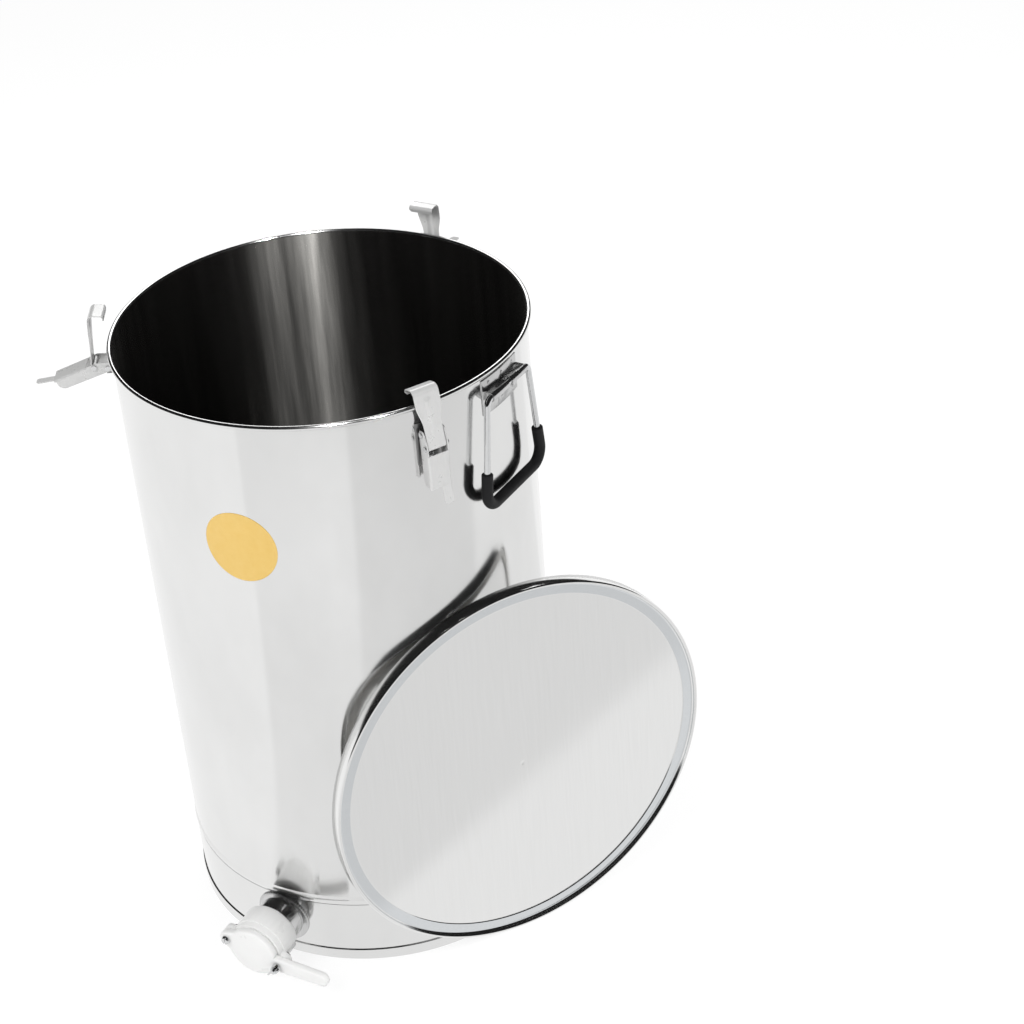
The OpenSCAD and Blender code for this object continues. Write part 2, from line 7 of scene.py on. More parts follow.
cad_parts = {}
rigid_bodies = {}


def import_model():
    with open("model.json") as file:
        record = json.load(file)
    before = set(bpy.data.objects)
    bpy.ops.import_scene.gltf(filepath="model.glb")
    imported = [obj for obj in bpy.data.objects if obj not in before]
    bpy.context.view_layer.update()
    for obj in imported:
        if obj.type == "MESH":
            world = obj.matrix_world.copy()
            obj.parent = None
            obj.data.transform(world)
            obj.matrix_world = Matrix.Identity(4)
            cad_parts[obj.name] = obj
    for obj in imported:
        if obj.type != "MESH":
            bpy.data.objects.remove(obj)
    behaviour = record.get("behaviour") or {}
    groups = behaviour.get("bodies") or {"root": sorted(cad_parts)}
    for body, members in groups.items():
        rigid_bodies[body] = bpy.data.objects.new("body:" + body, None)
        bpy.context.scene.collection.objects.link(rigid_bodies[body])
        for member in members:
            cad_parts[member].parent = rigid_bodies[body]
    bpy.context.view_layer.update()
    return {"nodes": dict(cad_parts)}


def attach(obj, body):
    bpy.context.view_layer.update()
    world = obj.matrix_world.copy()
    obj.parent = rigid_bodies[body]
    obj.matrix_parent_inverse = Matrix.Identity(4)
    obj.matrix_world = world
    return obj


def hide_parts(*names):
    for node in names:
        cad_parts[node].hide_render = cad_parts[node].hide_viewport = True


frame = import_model()
nodes = frame["nodes"]
scene = bpy.context.scene
scene.view_settings.view_transform = "Standard"
print("frame loaded:", len(nodes), "nodes")

# the tank's own sizes, in metres, that the dressing sits on
tank = {"innerR": 0.1975, "wall": 0.001, "wallR": 0.1985, "rimZ": 0.642, "curlR": 0.0025, "seamZ": 0.074,
        "beadUp": 0.001, "beadH": 0.010, "beadProud": 0.001, "seamEdge": 0.0004, "around": 720,
        "rimRows": 33, "beadRows": 13, "seamRows": 5}
handleSides = {"right": -37.5, "left": 142.5}  # degrees round the axis
flatHold = 0.00006  # a row of points this far from a round keeps the flat beside it flat
creaseAngle = 40.0  # edges sharper than this, in degrees, are shaded as edges


# a point on the tank: az round the axis, u off the wall, side along the wall, z up
def onWall(az, u, side, z):
    a = math.radians(az)
    outward = np.array([math.cos(a), math.sin(a), 0.0])
    along = np.array([-math.sin(a), math.cos(a), 0.0])
    upward = np.array([0.0, 0.0, 1.0])
    reach = np.asarray(tank["wallR"] + u)[..., None]
    return outward * reach + along * np.asarray(side)[..., None] + upward * np.asarray(z)[..., None]


# camera, solved from the tank's circles
view = {"lens": 75.55, "sensor": 36.0, "place": (0.0, -1.837, 1.584),
        "pan": 5.29, "tilt": 32.75, "roll": 4.36}


# from a look along +y, the camera is panned to the right, tilted down and rolled about its line of sight
def makeCamera(v):
    pan, tilt, roll = (math.radians(v[k]) for k in ("pan", "tilt", "roll"))
    forward = np.array([math.sin(pan) * math.cos(tilt), math.cos(pan) * math.cos(tilt), -math.sin(tilt)])
    right = np.array([math.cos(pan), -math.sin(pan), 0.0])
    down = np.cross(forward, right)
    rolledRight = math.cos(roll) * right + math.sin(roll) * down
    rolledDown = -math.sin(roll) * right + math.cos(roll) * down
    data = bpy.data.cameras.new("tankCamera")
    data.lens = v["lens"]
    data.sensor_width = v["sensor"]
    data.sensor_fit = "HORIZONTAL"
    cam = bpy.data.objects.new("tankCamera", data)
    scene.collection.objects.link(cam)
    turn = Matrix((rolledRight, -rolledDown, -forward)).transposed()
    cam.matrix_world = Matrix.Translation(v["place"]) @ turn.to_4x4()
    scene.camera = cam


makeCamera(view)
print("camera set")


# node helpers
def newMaterial(name):
    mat = bpy.data.materials.new(name)
    mat.use_nodes = True
    tree = mat.node_tree
    return mat, tree, tree.nodes["Principled BSDF"]


def addNode(tree, kind, links=None, **settings):
    node = tree.nodes.new(kind)
    for key, value in settings.items():
        setattr(node, key, value)
    for socket, value in (links or {}).items():
        put(tree, node.inputs[socket], value)
    return node


def put(tree, socket, value):
    if isinstance(value, bpy.types.NodeSocket):
        tree.links.new(value, socket)
    else:
        socket.default_value = value


def larger(tree, a, b):
    return addNode(tree, "ShaderNodeMath", {0: a, 1: b}, operation="MAXIMUM").outputs[0]


def remap(tree, value, low, high, fromLow, fromHigh):
    return addNode(tree, "ShaderNodeMapRange", {"Value": value, "From Min": fromLow, "From Max": fromHigh,
                                                "To Min": low, "To Max": high}).outputs[0]


# noise stays mostly between 0.3 and 0.7: that band is stretched over low to high
def spreadNoise(tree, noise, low, high):
    return remap(tree, noise, low, high, 0.3, 0.7)


def objectNoise(tree, scale, detail, rough):
    coord = addNode(tree, "ShaderNodeTexCoord").outputs["Object"]
    mapped = addNode(tree, "ShaderNodeMapping", {"Vector": coord, "Scale": scale}).outputs[0]
    links = {"Vector": mapped, "Scale": 1.0, "Detail": detail, "Roughness": rough}
    return addNode(tree, "ShaderNodeTexNoise", links).outputs["Fac"]


def evenNoise(tree, scale, detail, rough):
    return objectNoise(tree, (scale, scale, scale), detail, rough)


# colour between low and high by fac
def tint(tree, fac, low, high):
    colours = {0: fac, 6: (*low, 1.0), 7: (*high, 1.0)}
    return addNode(tree, "ShaderNodeMix", colours, data_type="RGBA").outputs[2]


# what every finish has: a colour and a roughness, each between two values, and a bump, its depth in metres
def dress(tree, bsdf, f, colourBy, roughBy, height, bump, deep=0.0002):
    raised = addNode(tree, "ShaderNodeBump", {"Height": height, "Strength": bump, "Distance": deep})
    put(tree, bsdf.inputs["Base Color"], tint(tree, colourBy, f["low"], f["high"]))
    put(tree, bsdf.inputs["Roughness"], spreadNoise(tree, roughBy, *f["rough"]))
    put(tree, bsdf.inputs["Normal"], raised.outputs[0])


# finishes
wallFinish = {"low": (0.755, 0.755, 0.75), "high": (0.83, 0.83, 0.825), "rough": (0.09, 0.14), "aniso": 0.8,
              "grain": (5.0, 5.0, 1400.0), "smudge": (7.0, 7.0, 4.0), "bump": 0.06, "metal": 1.0}
# the tank's inside is the same sheet steel painted far darker, with a little diffuse: painted shade of the
# inside
paintedShadeInsideFinish = {"low": (0.15, 0.147, 0.14), "high": (0.27, 0.263, 0.25), "rough": (0.19, 0.23), "aniso": 1.0,
                "grain": (5.0, 5.0, 900.0), "smudge": (60.0, 60.0, 3.0), "bump": 0.08, "metal": 0.97}


# rolled sheet: fine lines run round the tank, so a lamp is drawn out up and down it
def tankSheet(name, f):
    mat, tree, bsdf = newMaterial(name)
    lines = objectNoise(tree, f["grain"], detail=3.0, rough=0.6)
    smudge = objectNoise(tree, f["smudge"], detail=5.0, rough=0.6)
    dress(tree, bsdf, f, spreadNoise(tree, smudge, 0.0, 1.0), smudge, lines, f["bump"])
    bsdf.inputs["Metallic"].default_value = f["metal"]
    bsdf.inputs["Anisotropic"].default_value = f["aniso"]
    bsdf.inputs["Anisotropic Rotation"].default_value = 0.25  # a quarter turn
    around = addNode(tree, "ShaderNodeTangent", direction_type="RADIAL", axis="Z")
    put(tree, bsdf.inputs["Tangent"], around.outputs[0])
    return mat


lidFinish = {"low": (0.81, 0.81, 0.805), "high": (0.87, 0.87, 0.865), "rough": (0.09, 0.15),
             "grain": (900.0, 900.0, 9.0), "smudge": (9.0, 9.0, 6.0), "metal": 1.0}
grooveFinish = {"low": (0.66, 0.68, 0.695), "high": (0.72, 0.74, 0.755), "rough": (0.10, 0.16),
                "grain": (300.0, 300.0, 300.0), "smudge": (30.0, 30.0, 30.0), "metal": 1.0}
brightFinish = {"low": (0.66, 0.665, 0.67), "high": (0.78, 0.785, 0.79), "rough": (0.08, 0.16),
                "grain": (260.0, 260.0, 260.0), "smudge": (40.0, 40.0, 40.0), "metal": 1.0}
plateFinish = {"low": (0.56, 0.56, 0.56), "high": (0.68, 0.68, 0.68), "rough": (0.16, 0.26),
               "grain": (500.0, 500.0, 60.0), "smudge": (30.0, 30.0, 30.0), "metal": 1.0}
latchFinish = {"low": (0.64, 0.64, 0.635), "high": (0.71, 0.71, 0.705), "rough": (0.26, 0.36),
               "grain": (700.0, 700.0, 90.0), "smudge": (60.0, 60.0, 60.0), "metal": 0.3}
# latch seats: a rougher steel, its dark colour painted shade of the deep gap round the hooks and levers
paintedShadeSeatFinish = {"low": (0.22, 0.22, 0.22), "high": (0.34, 0.34, 0.34), "rough": (0.28, 0.40),
              "grain": (500.0, 500.0, 60.0), "smudge": (30.0, 30.0, 30.0), "metal": 1.0}


# plain metal: grain and smudges in object space
def plainMetal(name, f, bump=0.05):
    mat, tree, bsdf = newMaterial(name)
    lines = objectNoise(tree, f["grain"], detail=3.0, rough=0.6)
    smudge = objectNoise(tree, f["smudge"], detail=5.0, rough=0.6)
    dress(tree, bsdf, f, lines, smudge, lines, bump)
    bsdf.inputs["Metallic"].default_value = f["metal"]
    return mat


plasticFinish = {"low": (0.86, 0.86, 0.85), "high": (0.92, 0.92, 0.915), "rough": (0.26, 0.36),
                 "flow": 40.0, "skin": 900.0, "bump": 0.05, "milky": 0.08, "milkyDeep": 0.004}


# moulded plastic: faint flow marks and a fine skin
def mouldedPlastic(name, f):
    mat, tree, bsdf = newMaterial(name)
    flow = evenNoise(tree, f["flow"], detail=4.0, rough=0.5)
    skin = evenNoise(tree, f["skin"], detail=2.0, rough=0.5)
    dress(tree, bsdf, f, flow, flow, skin, f["bump"])
    bsdf.inputs["Subsurface Weight"].default_value = f["milky"]
    bsdf.inputs["Subsurface Radius"].default_value = (f["milkyDeep"], f["milkyDeep"], f["milkyDeep"])
    return mat


rubberFinish = {"low": (0.008, 0.008, 0.009), "high": (0.016, 0.016, 0.017), "rough": (0.48, 0.66),
                "gloss": 0.22}
sealFinish = {"low": (0.62, 0.61, 0.58), "high": (0.74, 0.73, 0.70), "rough": (0.5, 0.7), "gloss": 0.4}
pebble = {"rubbed": 60.0, "skin": 1600.0, "bump": 0.15}


# rubber: a fine pebbled skin and rubbed patches
def softRubber(name, f, skinOf=pebble):
    mat, tree, bsdf = newMaterial(name)
    rubbed = evenNoise(tree, skinOf["rubbed"], detail=4.0, rough=0.6)
    skin = evenNoise(tree, skinOf["skin"], detail=2.0, rough=0.5)
    dress(tree, bsdf, f, rubbed, rubbed, skin, skinOf["bump"])
    bsdf.inputs["Specular IOR Level"].default_value = f["gloss"]
    return mat


goldFinish = {"low": (0.78, 0.50, 0.11), "high": (0.86, 0.60, 0.19), "rough": (0.28, 0.40), "cloud": 120.0,
              "metal": 0.25, "film": 0.4, "filmRough": 0.15, "bump": 0.04, "bumpDeep": 0.0005}


# gold foil: faint cloudy lustre under a clear film
def goldFoil(name, f):
    mat, tree, bsdf = newMaterial(name)
    cloud = evenNoise(tree, f["cloud"], detail=4.0, rough=0.6)
    dress(tree, bsdf, f, cloud, cloud, cloud, f["bump"], f["bumpDeep"])
    bsdf.inputs["Metallic"].default_value = f["metal"]
    bsdf.inputs["Coat Weight"].default_value = f["film"]
    bsdf.inputs["Coat Roughness"].default_value = f["filmRough"]
    return mat


wallSteel = tankSheet("tankSheetSteel", wallFinish)
# the inside's darker steel is painted shade
paintedShadeInsideSteel = tankSheet("tankInsidePaintedShadeSteel", paintedShadeInsideFinish)
lidSteel = plainMetal("lidPressedSteel", lidFinish)
grooveSteel = plainMetal("lidGrooveSteel", grooveFinish)
brightSteel = plainMetal("brightLatchSteel", brightFinish)
plateSteel = plainMetal("plateSteel", plateFinish)
latchSteel = plainMetal("latchSatinSteel", latchFinish)
paintedShadeSeatSteel = plainMetal("latchSeatPaintedShadeSteel", paintedShadeSeatFinish)
whitePlastic = mouldedPlastic("whiteGatePlastic", plasticFinish)
blackRubber = softRubber("blackGripRubber", rubberFinish)
paleRubber = softRubber("paleSealRubber", sealFinish)
goldLabelFoil = goldFoil("goldLabelFoil", goldFinish)


def finishFor(name):
    if name in ("body_shell", "base_ring", "tank_floor"):
        return wallSteel
    if name == "lid":
        return lidSteel
    if name in ("gate_socket", "gate_blade"):
        return whitePlastic
    if name in ("pipe_seal", "gate_seal") or name.startswith("handle_grip"):
        return blackRubber
    if name == "lid_seal":
        return paleRubber
    # the latch seats take the dark steel: painted shade of the gap behind the hooks
    if name.startswith("latch_base"):
        return paintedShadeSeatSteel
    if name.startswith("latch_hook") or name.startswith("latch_lever"):
        return latchSteel
    if name.startswith("handle_strap") or name == "outlet_pipe":
        return plateSteel
    return brightSteel


for name, obj in nodes.items():
    obj.data.materials.clear()
    obj.data.materials.append(finishFor(name))
print("finishes on all nodes")

# widths are in metres, angles in degrees; a node that is named here has its own width of round
edges = {"merge": 0.00001, "flat": 1.0, "sharp": 30.0, "steps": 2, "default": 0.00025, "gate_socket": 0.0009,
         "outlet_pipe": 0.0004, "lid_seal": 0.0004}


# the CAD's loose triangles are joined, flat faces made one and sharp edges given a small round
def softenEdges(name, obj, e):
    obj.data.polygons.foreach_set("use_smooth", np.ones(len(obj.data.polygons), dtype=bool))
    join = obj.modifiers.new("join", "WELD")
    join.merge_threshold = e["merge"]
    flat = obj.modifiers.new("flat", "DECIMATE")
    flat.decimate_type = "DISSOLVE"
    flat.angle_limit = math.radians(e["flat"])
    bevel = obj.modifiers.new("round", "BEVEL")
    bevel.width = e.get(name, e["default"])
    bevel.segments = e["steps"]
    bevel.limit_method = "ANGLE"
    bevel.angle_limit = math.radians(e["sharp"])
    bevel.harden_normals = True


for name, obj in nodes.items():
    softenEdges(name, obj, edges)
print("edges softened")


# faces over a grid of points: columns join up into rings; rows join up too where the profile is a loop,
# and otherwise the first and the last ring are filled
def gridFaces(shape, first=0, loop=False):
    index = first + np.arange(shape[0] * shape[1]).reshape(shape[:2])
    rows = np.concatenate([index, index[:1]]) if loop else index
    ahead = np.roll(rows, -1, axis=1)
    quads = np.stack([rows[:-1], ahead[:-1], ahead[1:], rows[1:]], axis=-1).reshape(-1, 4).tolist()
    return quads if loop else quads + [index[0, ::-1].tolist(), index[-1].tolist()]


# inner is a second material with the faces that take it, and sharp the angle past which an edge shows
def addPiece(name, points, faces, material, body, replaces=None, inner=None, sharp=None):
    mesh = bpy.data.meshes.new(name)
    mesh.from_pydata(points.reshape(-1, 3).tolist(), [], faces)
    mesh.polygons.foreach_set("use_smooth", np.ones(len(mesh.polygons), dtype=bool))
    mesh.update()
    if sharp:
        mesh.set_sharp_from_angle(angle=math.radians(sharp))
    mesh.materials.append(material)
    if inner:
        mesh.materials.append(inner[0])
        band = np.zeros(len(mesh.polygons), dtype=np.int32)
        band[inner[1]] = 1
        mesh.polygons.foreach_set("material_index", band)
    piece = bpy.data.objects.new(name, mesh)
    scene.collection.objects.link(piece)
    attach(piece, body)
    if replaces:
        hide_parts(replaces)


# a piece of one grid of rings
def ringGrid(name, points, material, body, loop=False, replaces=None, inner=None):
    addPiece(name, points, gridFaces(points.shape, 0, loop), material, body, replaces, inner)


# a closed shell faces outwards when the volume that its faces sweep about a point is positive
def facingOut(grid):
    near = grid - grid.reshape(-1, 3).mean(axis=0)
    a, b = near[:-1], np.roll(near, -1, axis=1)[:-1]
    c, d = np.roll(near, -1, axis=1)[1:], near[1:]
    sides = (np.cross(a, b) * c).sum() + (np.cross(a, c) * d).sum()
    first, last = near[0], near[-1]
    start = (np.cross(first[1:-1], first[2:]) * first[0]).sum()
    end = (np.cross(last[1:-1], last[2:]) * last[0]).sum()
    return grid if sides + (end - start) > 0.0 else grid[:, ::-1]


# one piece of several closed shells, each a grid of rings with both end rings filled
def shellPiece(name, grids, material, body, replaces=None):
    faces, first = [], 0
    grids = [facingOut(grid) for grid in grids]
    for grid in grids:
        faces += gridFaces(grid.shape, first)
        first += grid.shape[0] * grid.shape[1]
    points = np.concatenate([grid.reshape(-1, 3) for grid in grids])
    addPiece(name, points, faces, material, body, replaces, sharp=creaseAngle)


# points on an arc about a middle, from one angle to another in degrees
def arcRow(middle, radius, start, end, count):
    a = np.radians(np.linspace(start, end, count))
    return np.stack([middle[0] + radius * np.cos(a), middle[1] + radius * np.sin(a)], axis=-1)


# a closed outline with each corner turned by an arc, and a point just before and after each arc to hold
# the flats
def roundedLoop(corners, radii, steps, hold=flatHold):
    corners = np.asarray(corners, dtype=float)
    radii = np.asarray(radii, dtype=float)[:, None]
    back = np.roll(corners, 1, axis=0) - corners
    on = np.roll(corners, -1, axis=0) - corners
    back /= np.linalg.norm(back, axis=1, keepdims=True)
    on /= np.linalg.norm(on, axis=1, keepdims=True)
    half = 0.5 * np.arccos(np.clip((back * on).sum(axis=1, keepdims=True), -1.0, 1.0))
    cut = radii / np.tan(half)
    bisector = (back + on) / np.linalg.norm(back + on, axis=1, keepdims=True)
    middle = corners + bisector * radii / np.sin(half)
    sweep = np.pi - 2.0 * half
    a = np.linspace(0.0, 1.0, steps + 1)[None, :, None]
    first = (corners + back * cut - middle)[:, None, :]
    last = (corners + on * cut - middle)[:, None, :]
    sweep = sweep[:, None, :]
    turned = np.sin((1.0 - a) * sweep) * first + np.sin(a * sweep) * last
    arcs = middle[:, None, :] + turned / np.sin(sweep)
    before = (corners + back * (cut + hold))[:, None, :]
    after = (corners + on * (cut + hold))[:, None, :]
    return np.concatenate([before, arcs, after], axis=1).reshape(-1, 2)


# a profile of radius and height carried round the axis: each row is one point of it, each column one turn
def carriedRound(profile, count):
    turn = np.linspace(0.0, 2.0 * np.pi, count, endpoint=False)
    r = profile[:, 0][:, None]
    return np.stack([r * np.cos(turn), r * np.sin(turn), profile[:, 1][:, None] + 0.0 * turn], axis=-1)


# upper wall: round the rolled rim from the inside, down the outside, over the bead, round the seam's edge
# and up the inside; the bead is the arc that its height and its stand-off give
def wallProfile(t):
    curl = (t["innerR"] + t["curlR"], t["rimZ"] - t["curlR"])
    meet = math.degrees(math.acos((t["curlR"] - t["wall"]) / t["curlR"]))
    rim = arcRow(curl, t["curlR"], 180.0, -180.0 + meet, t["rimRows"])
    beadR = (t["beadH"] ** 2 / 4 + t["beadProud"] ** 2) / (2 * t["beadProud"])
    beadMid = (t["wallR"] + t["beadProud"] - beadR, t["seamZ"] + t["beadUp"] + t["beadH"] / 2)
    spread = math.degrees(math.asin(t["beadH"] / 2 / beadR))
    bead = arcRow(beadMid, beadR, spread, -spread, t["beadRows"])
    seamMid = (t["wallR"] - t["seamEdge"], t["seamZ"] + t["seamEdge"])
    edge = arcRow(seamMid, t["seamEdge"], 0.0, -90.0, t["seamRows"])
    outside = np.array([[t["wallR"], rim[-1, 1] - flatHold], [t["wallR"], bead[0, 1] + flatHold]])
    foot = np.array([[t["innerR"], t["seamZ"]], [t["innerR"], curl[1] - flatHold]])
    return np.concatenate([rim, outside, bead, edge, foot])


wallGrid = carriedRound(wallProfile(tank), tank["around"])
# the last two bands, from the foot to the rim, are the inside face; it takes the far darker copy of the sheet
# steel, which is painted shade
paintedShadeInsideFaces = np.arange((len(wallGrid) - 2) * tank["around"], len(wallGrid) * tank["around"])
ringGrid("bodyWall", wallGrid[:, ::-1], wallSteel, "tank", loop=True, replaces="body_shell",
         inner=(paintedShadeInsideSteel, paintedShadeInsideFaces))

lower = {"hemH": 0.013, "hemProud": 0.0013, "hemRows": 9, "holeAz": -125.0, "holeZ": 0.045, "holeR": 0.02405,
         "reach": 0.0275, "steps": 24, "ease": 4, "rest": 640, "edge": 0.0003}


# distances from the hole's middle, falling: even steps across the hole and a few on to the reach round it
def besideHole(f):
    return np.concatenate([np.linspace(f["reach"], f["holeR"], f["ease"])[:-1],
                           np.linspace(f["holeR"], -f["holeR"], f["steps"] + 1),
                           np.linspace(-f["holeR"], -f["reach"], f["ease"])[1:]])


# lower wall: down the outside, over the folded hem, under the foot and up the inside; the other results are
# the first rows of the stretches beside the hole, outside and inside
def lowerProfile(t, f):
    beside = f["holeZ"] + besideHole(f)
    edge, top = f["edge"], t["seamZ"]
    hem = arcRow((t["wallR"], f["hemH"] - f["hemProud"]), f["hemProud"], 90.0, 0.0, f["hemRows"])
    outR = t["wallR"] + f["hemProud"]
    outside = np.stack([np.full(len(beside), t["wallR"]), beside], axis=-1)
    inside = np.stack([np.full(len(beside), t["innerR"]), beside[::-1]], axis=-1)
    start = np.array([[t["wallR"] - edge, top], [t["wallR"], top - edge]])
    foot = np.array([[outR, edge], [outR - edge, 0.0], [t["innerR"] + edge, 0.0], [t["innerR"], edge]])
    end = np.array([[t["innerR"], top - edge], [t["innerR"] + edge, top]])
    first = len(start) + f["ease"] - 1
    second = len(start) + len(outside) + len(hem) + len(foot) + f["ease"] - 1
    return np.concatenate([start, outside, hem, foot, inside, end]), first, second


# the grid round the outlet's hole: a square of it is drawn in to a circle, the more the nearer it lies to
# the hole
def lowerGrid(t, f):
    profile, first, second = lowerProfile(t, f)
    wide = math.asin(f["reach"] / t["wallR"])
    far = np.linspace(wide, 2.0 * np.pi - wide, f["rest"] + 1)[1:-1]
    a = -besideHole(f)[None, :]
    b = profile[:, 1][:, None] - f["holeZ"]
    square = np.maximum(np.abs(a), np.abs(b))
    pull = np.clip((f["reach"] - square) / (f["reach"] - f["holeR"]), 0.0, 1.0)
    scale = pull * square / np.maximum(np.hypot(a, b), 1e-9) + 1.0 - pull
    turn = np.concatenate([np.arcsin(a * scale / t["wallR"]), far[None, :] + 0.0 * b], axis=1)
    z = np.concatenate([f["holeZ"] + b * scale, profile[:, 1][:, None] + 0.0 * far[None, :]], axis=1)
    angle = math.radians(f["holeAz"]) - turn
    r = profile[:, 0][:, None]
    return np.stack([r * np.cos(angle), r * np.sin(angle), z], axis=-1), first, second


# faces of the lower wall: those inside the hole are left out and a strip joins its two edges; the second
# result is the inside faces, which take the darker steel of painted shade
def lowerFaces(shape, first, second, f):
    rows, cols = shape[:2]
    n, left = f["steps"], f["ease"] - 1
    row, col = np.divmod(np.arange(rows * cols), cols)
    across = (col >= left) & (col < left + n)
    outside = (row >= first) & (row < first + n)
    inside = (row >= second) & (row < second + n)
    inHole = across & (outside | inside)
    faces = np.array(gridFaces(shape, loop=True))[~inHole].tolist()
    step = np.arange(n)
    down = np.concatenate([0 * step, step, 0 * step + n, n - step])
    along = left + np.concatenate([step, 0 * step + n, n - step, 0 * step])
    outer = (first + down) * cols + along
    inner = (second + n - down) * cols + along
    strip = np.stack([outer, np.roll(outer, -1), np.roll(inner, -1), inner], axis=-1).tolist()
    paintedShadeRows = row[~inHole] >= second - f["ease"]
    return faces + strip, np.flatnonzero(paintedShadeRows)


lowerPoints, holeFirst, holeSecond = lowerGrid(tank, lower)
lowerQuads, lowerPaintedShadeInside = lowerFaces(lowerPoints.shape, holeFirst, holeSecond, lower)
# the lower wall's inside takes the darker steel as well: painted shade
addPiece("lowerWall", lowerPoints, lowerQuads, wallSteel, "tank", replaces="base_ring",
         inner=(paintedShadeInsideSteel, lowerPaintedShadeInside), sharp=creaseAngle)
print("tank wall made")

# lengths in metres; the places along the radius and the roll's height are shares of the radius and thickness
sticker = {"az": -119.5, "z": 0.508, "radius": 0.037, "thick": 0.00022, "middle": 0.02, "rimIn": 0.93,
           "rimHalf": 0.006, "rimDip": 0.00009, "rollFrom": 0.985, "rollHigh": 0.6, "underFrom": 0.97,
           "seat": 0.00001, "rows": 8, "cols": 96}


# plain round label bent to the wall: p runs from the middle out and back underneath, q round it; its height
# off the wall is even, dips in a fine line inside the edge and rolls down to the wall at the edge
def roundLabel(f):
    top = np.linspace(f["middle"], f["rimIn"] - f["middle"], f["rows"])
    line = f["rimIn"] + f["rimHalf"] * np.array([-1.0, 0.0, 1.0])
    back = np.linspace(f["underFrom"], f["middle"], f["rows"])
    p = np.concatenate([top, line, [f["rollFrom"], 1.0, 1.0], back])
    q = np.linspace(0.0, 2.0 * np.pi, f["cols"], endpoint=False)
    lift = np.full(len(p), f["thick"])
    rolled = len(top) + len(line) + 1
    lift[len(top) + 1] -= f["rimDip"]
    lift[rolled] = f["thick"] * f["rollHigh"]
    lift[rolled + 1:] = f["seat"]
    side = f["radius"] * p[:, None] * np.cos(q)
    up = f["radius"] * p[:, None] * np.sin(q)
    turn = math.radians(f["az"]) + side / tank["wallR"]
    reach = tank["wallR"] + lift[:, None] + 0.0 * side
    return np.stack([reach * np.cos(turn), reach * np.sin(turn), f["z"] + up], axis=-1)


ringGrid("goldLabel", roundLabel(sticker)[:, ::-1], goldLabelFoil, "tank")

weld = {"az": -125.0, "z": 0.045, "radius": 0.0288, "bead": 0.0012, "ripple": 0.14, "count": 62, "sway": 0.12,
        "swayCount": 3.0, "swayFrom": 1.0, "off": 0.0011, "high": 0.8, "cols": 14, "rows": 496}


# weld round the outlet's flange: a bead carried round the saddle line, its thickness rippling along the way
def flangeWeld(f):
    q = np.linspace(0.0, 2.0 * np.pi, f["rows"], endpoint=False)[:, None]
    w = np.linspace(0.0, 2.0 * np.pi, f["cols"], endpoint=False)[None, :]
    sway = f["sway"] * np.sin(f["swayCount"] * q + f["swayFrom"])
    bead = f["bead"] * (1.0 + f["ripple"] * np.cos(f["count"] * q) + sway)
    reach = f["radius"] + bead * np.cos(w)
    side = reach * np.cos(q)
    up = reach * np.sin(q)
    saddle = np.sqrt(tank["wallR"] ** 2 - side ** 2) - tank["wallR"]
    out = saddle + f["off"] + f["high"] * bead * np.sin(w)
    return onWall(f["az"], out, side, f["z"] + up)


ringGrid("outletWeld", flangeWeld(weld)[:, ::-1], plateSteel, "tank", loop=True)

# rings gives each ring's share of the radius and of the rise, from the middle out and back underneath
spots = {"radius": 0.0017, "rise": 0.00025, "strapFace": 0.00122, "sides": (-0.021, 0.0, 0.021),
         "heights": (0.6292, 0.6035), "cols": 20,
         "rings": ((0.08, 0.25), (0.35, 0.3), (0.6, 0.8), (0.75, 1.0),
                   (0.9, 0.6), (1.0, 0.0), (0.9, -0.2), (0.08, -0.2))}


# spot welds: a small crater, a raised ring round a shallow pit, on the strap's face
def strapSpots(f, az):
    rings = np.array(f["rings"])
    lift = f["rise"] * rings[:, 1] + f["strapFace"]
    q = np.linspace(0.0, 2.0 * np.pi, f["cols"], endpoint=False)
    ringR = f["radius"] * rings[:, 0][:, None]
    side = np.array(f["sides"])[:, None, None, None] + ringR * np.cos(q)
    up = np.array(f["heights"])[:, None, None] + ringR * np.sin(q)
    side, up = np.broadcast_arrays(side, up)
    turn = math.radians(az) + side / tank["wallR"]
    reach = tank["wallR"] + lift[:, None] + 0.0 * side
    points = np.stack([reach * np.cos(turn), reach * np.sin(turn), up], axis=-1)
    return points.reshape(-1, len(rings), f["cols"], 3)


for sideName, az in handleSides.items():
    for number, grid in enumerate(strapSpots(spots, az)):
        ringGrid("strapSpot_%s_%d" % (sideName, number), grid[:, ::-1], plateSteel, "tank")
print("label and welds made")

lidShape = {"az": -67.8, "side": 0.072, "lean": 0.8, "radius": 0.207, "sheet": 0.0008, "lip": 0.0034,
            "groove": 0.0116, "lipTop": 0.0014, "ringZ": -0.003, "panelZ": -0.0041, "depth": 0.0128,
            "press": 0.0005, "dimple": 0.0028, "pit": 0.0007, "gap": 0.0003, "seat": 0.00005, "pole": 0.00005,
            "hold": 0.0001, "hem": 0.0002, "flatFrom": 0.01, "flatRows": 24, "pitRows": 8, "pressRows": 9,
            "ringRows": 10, "around": 720}


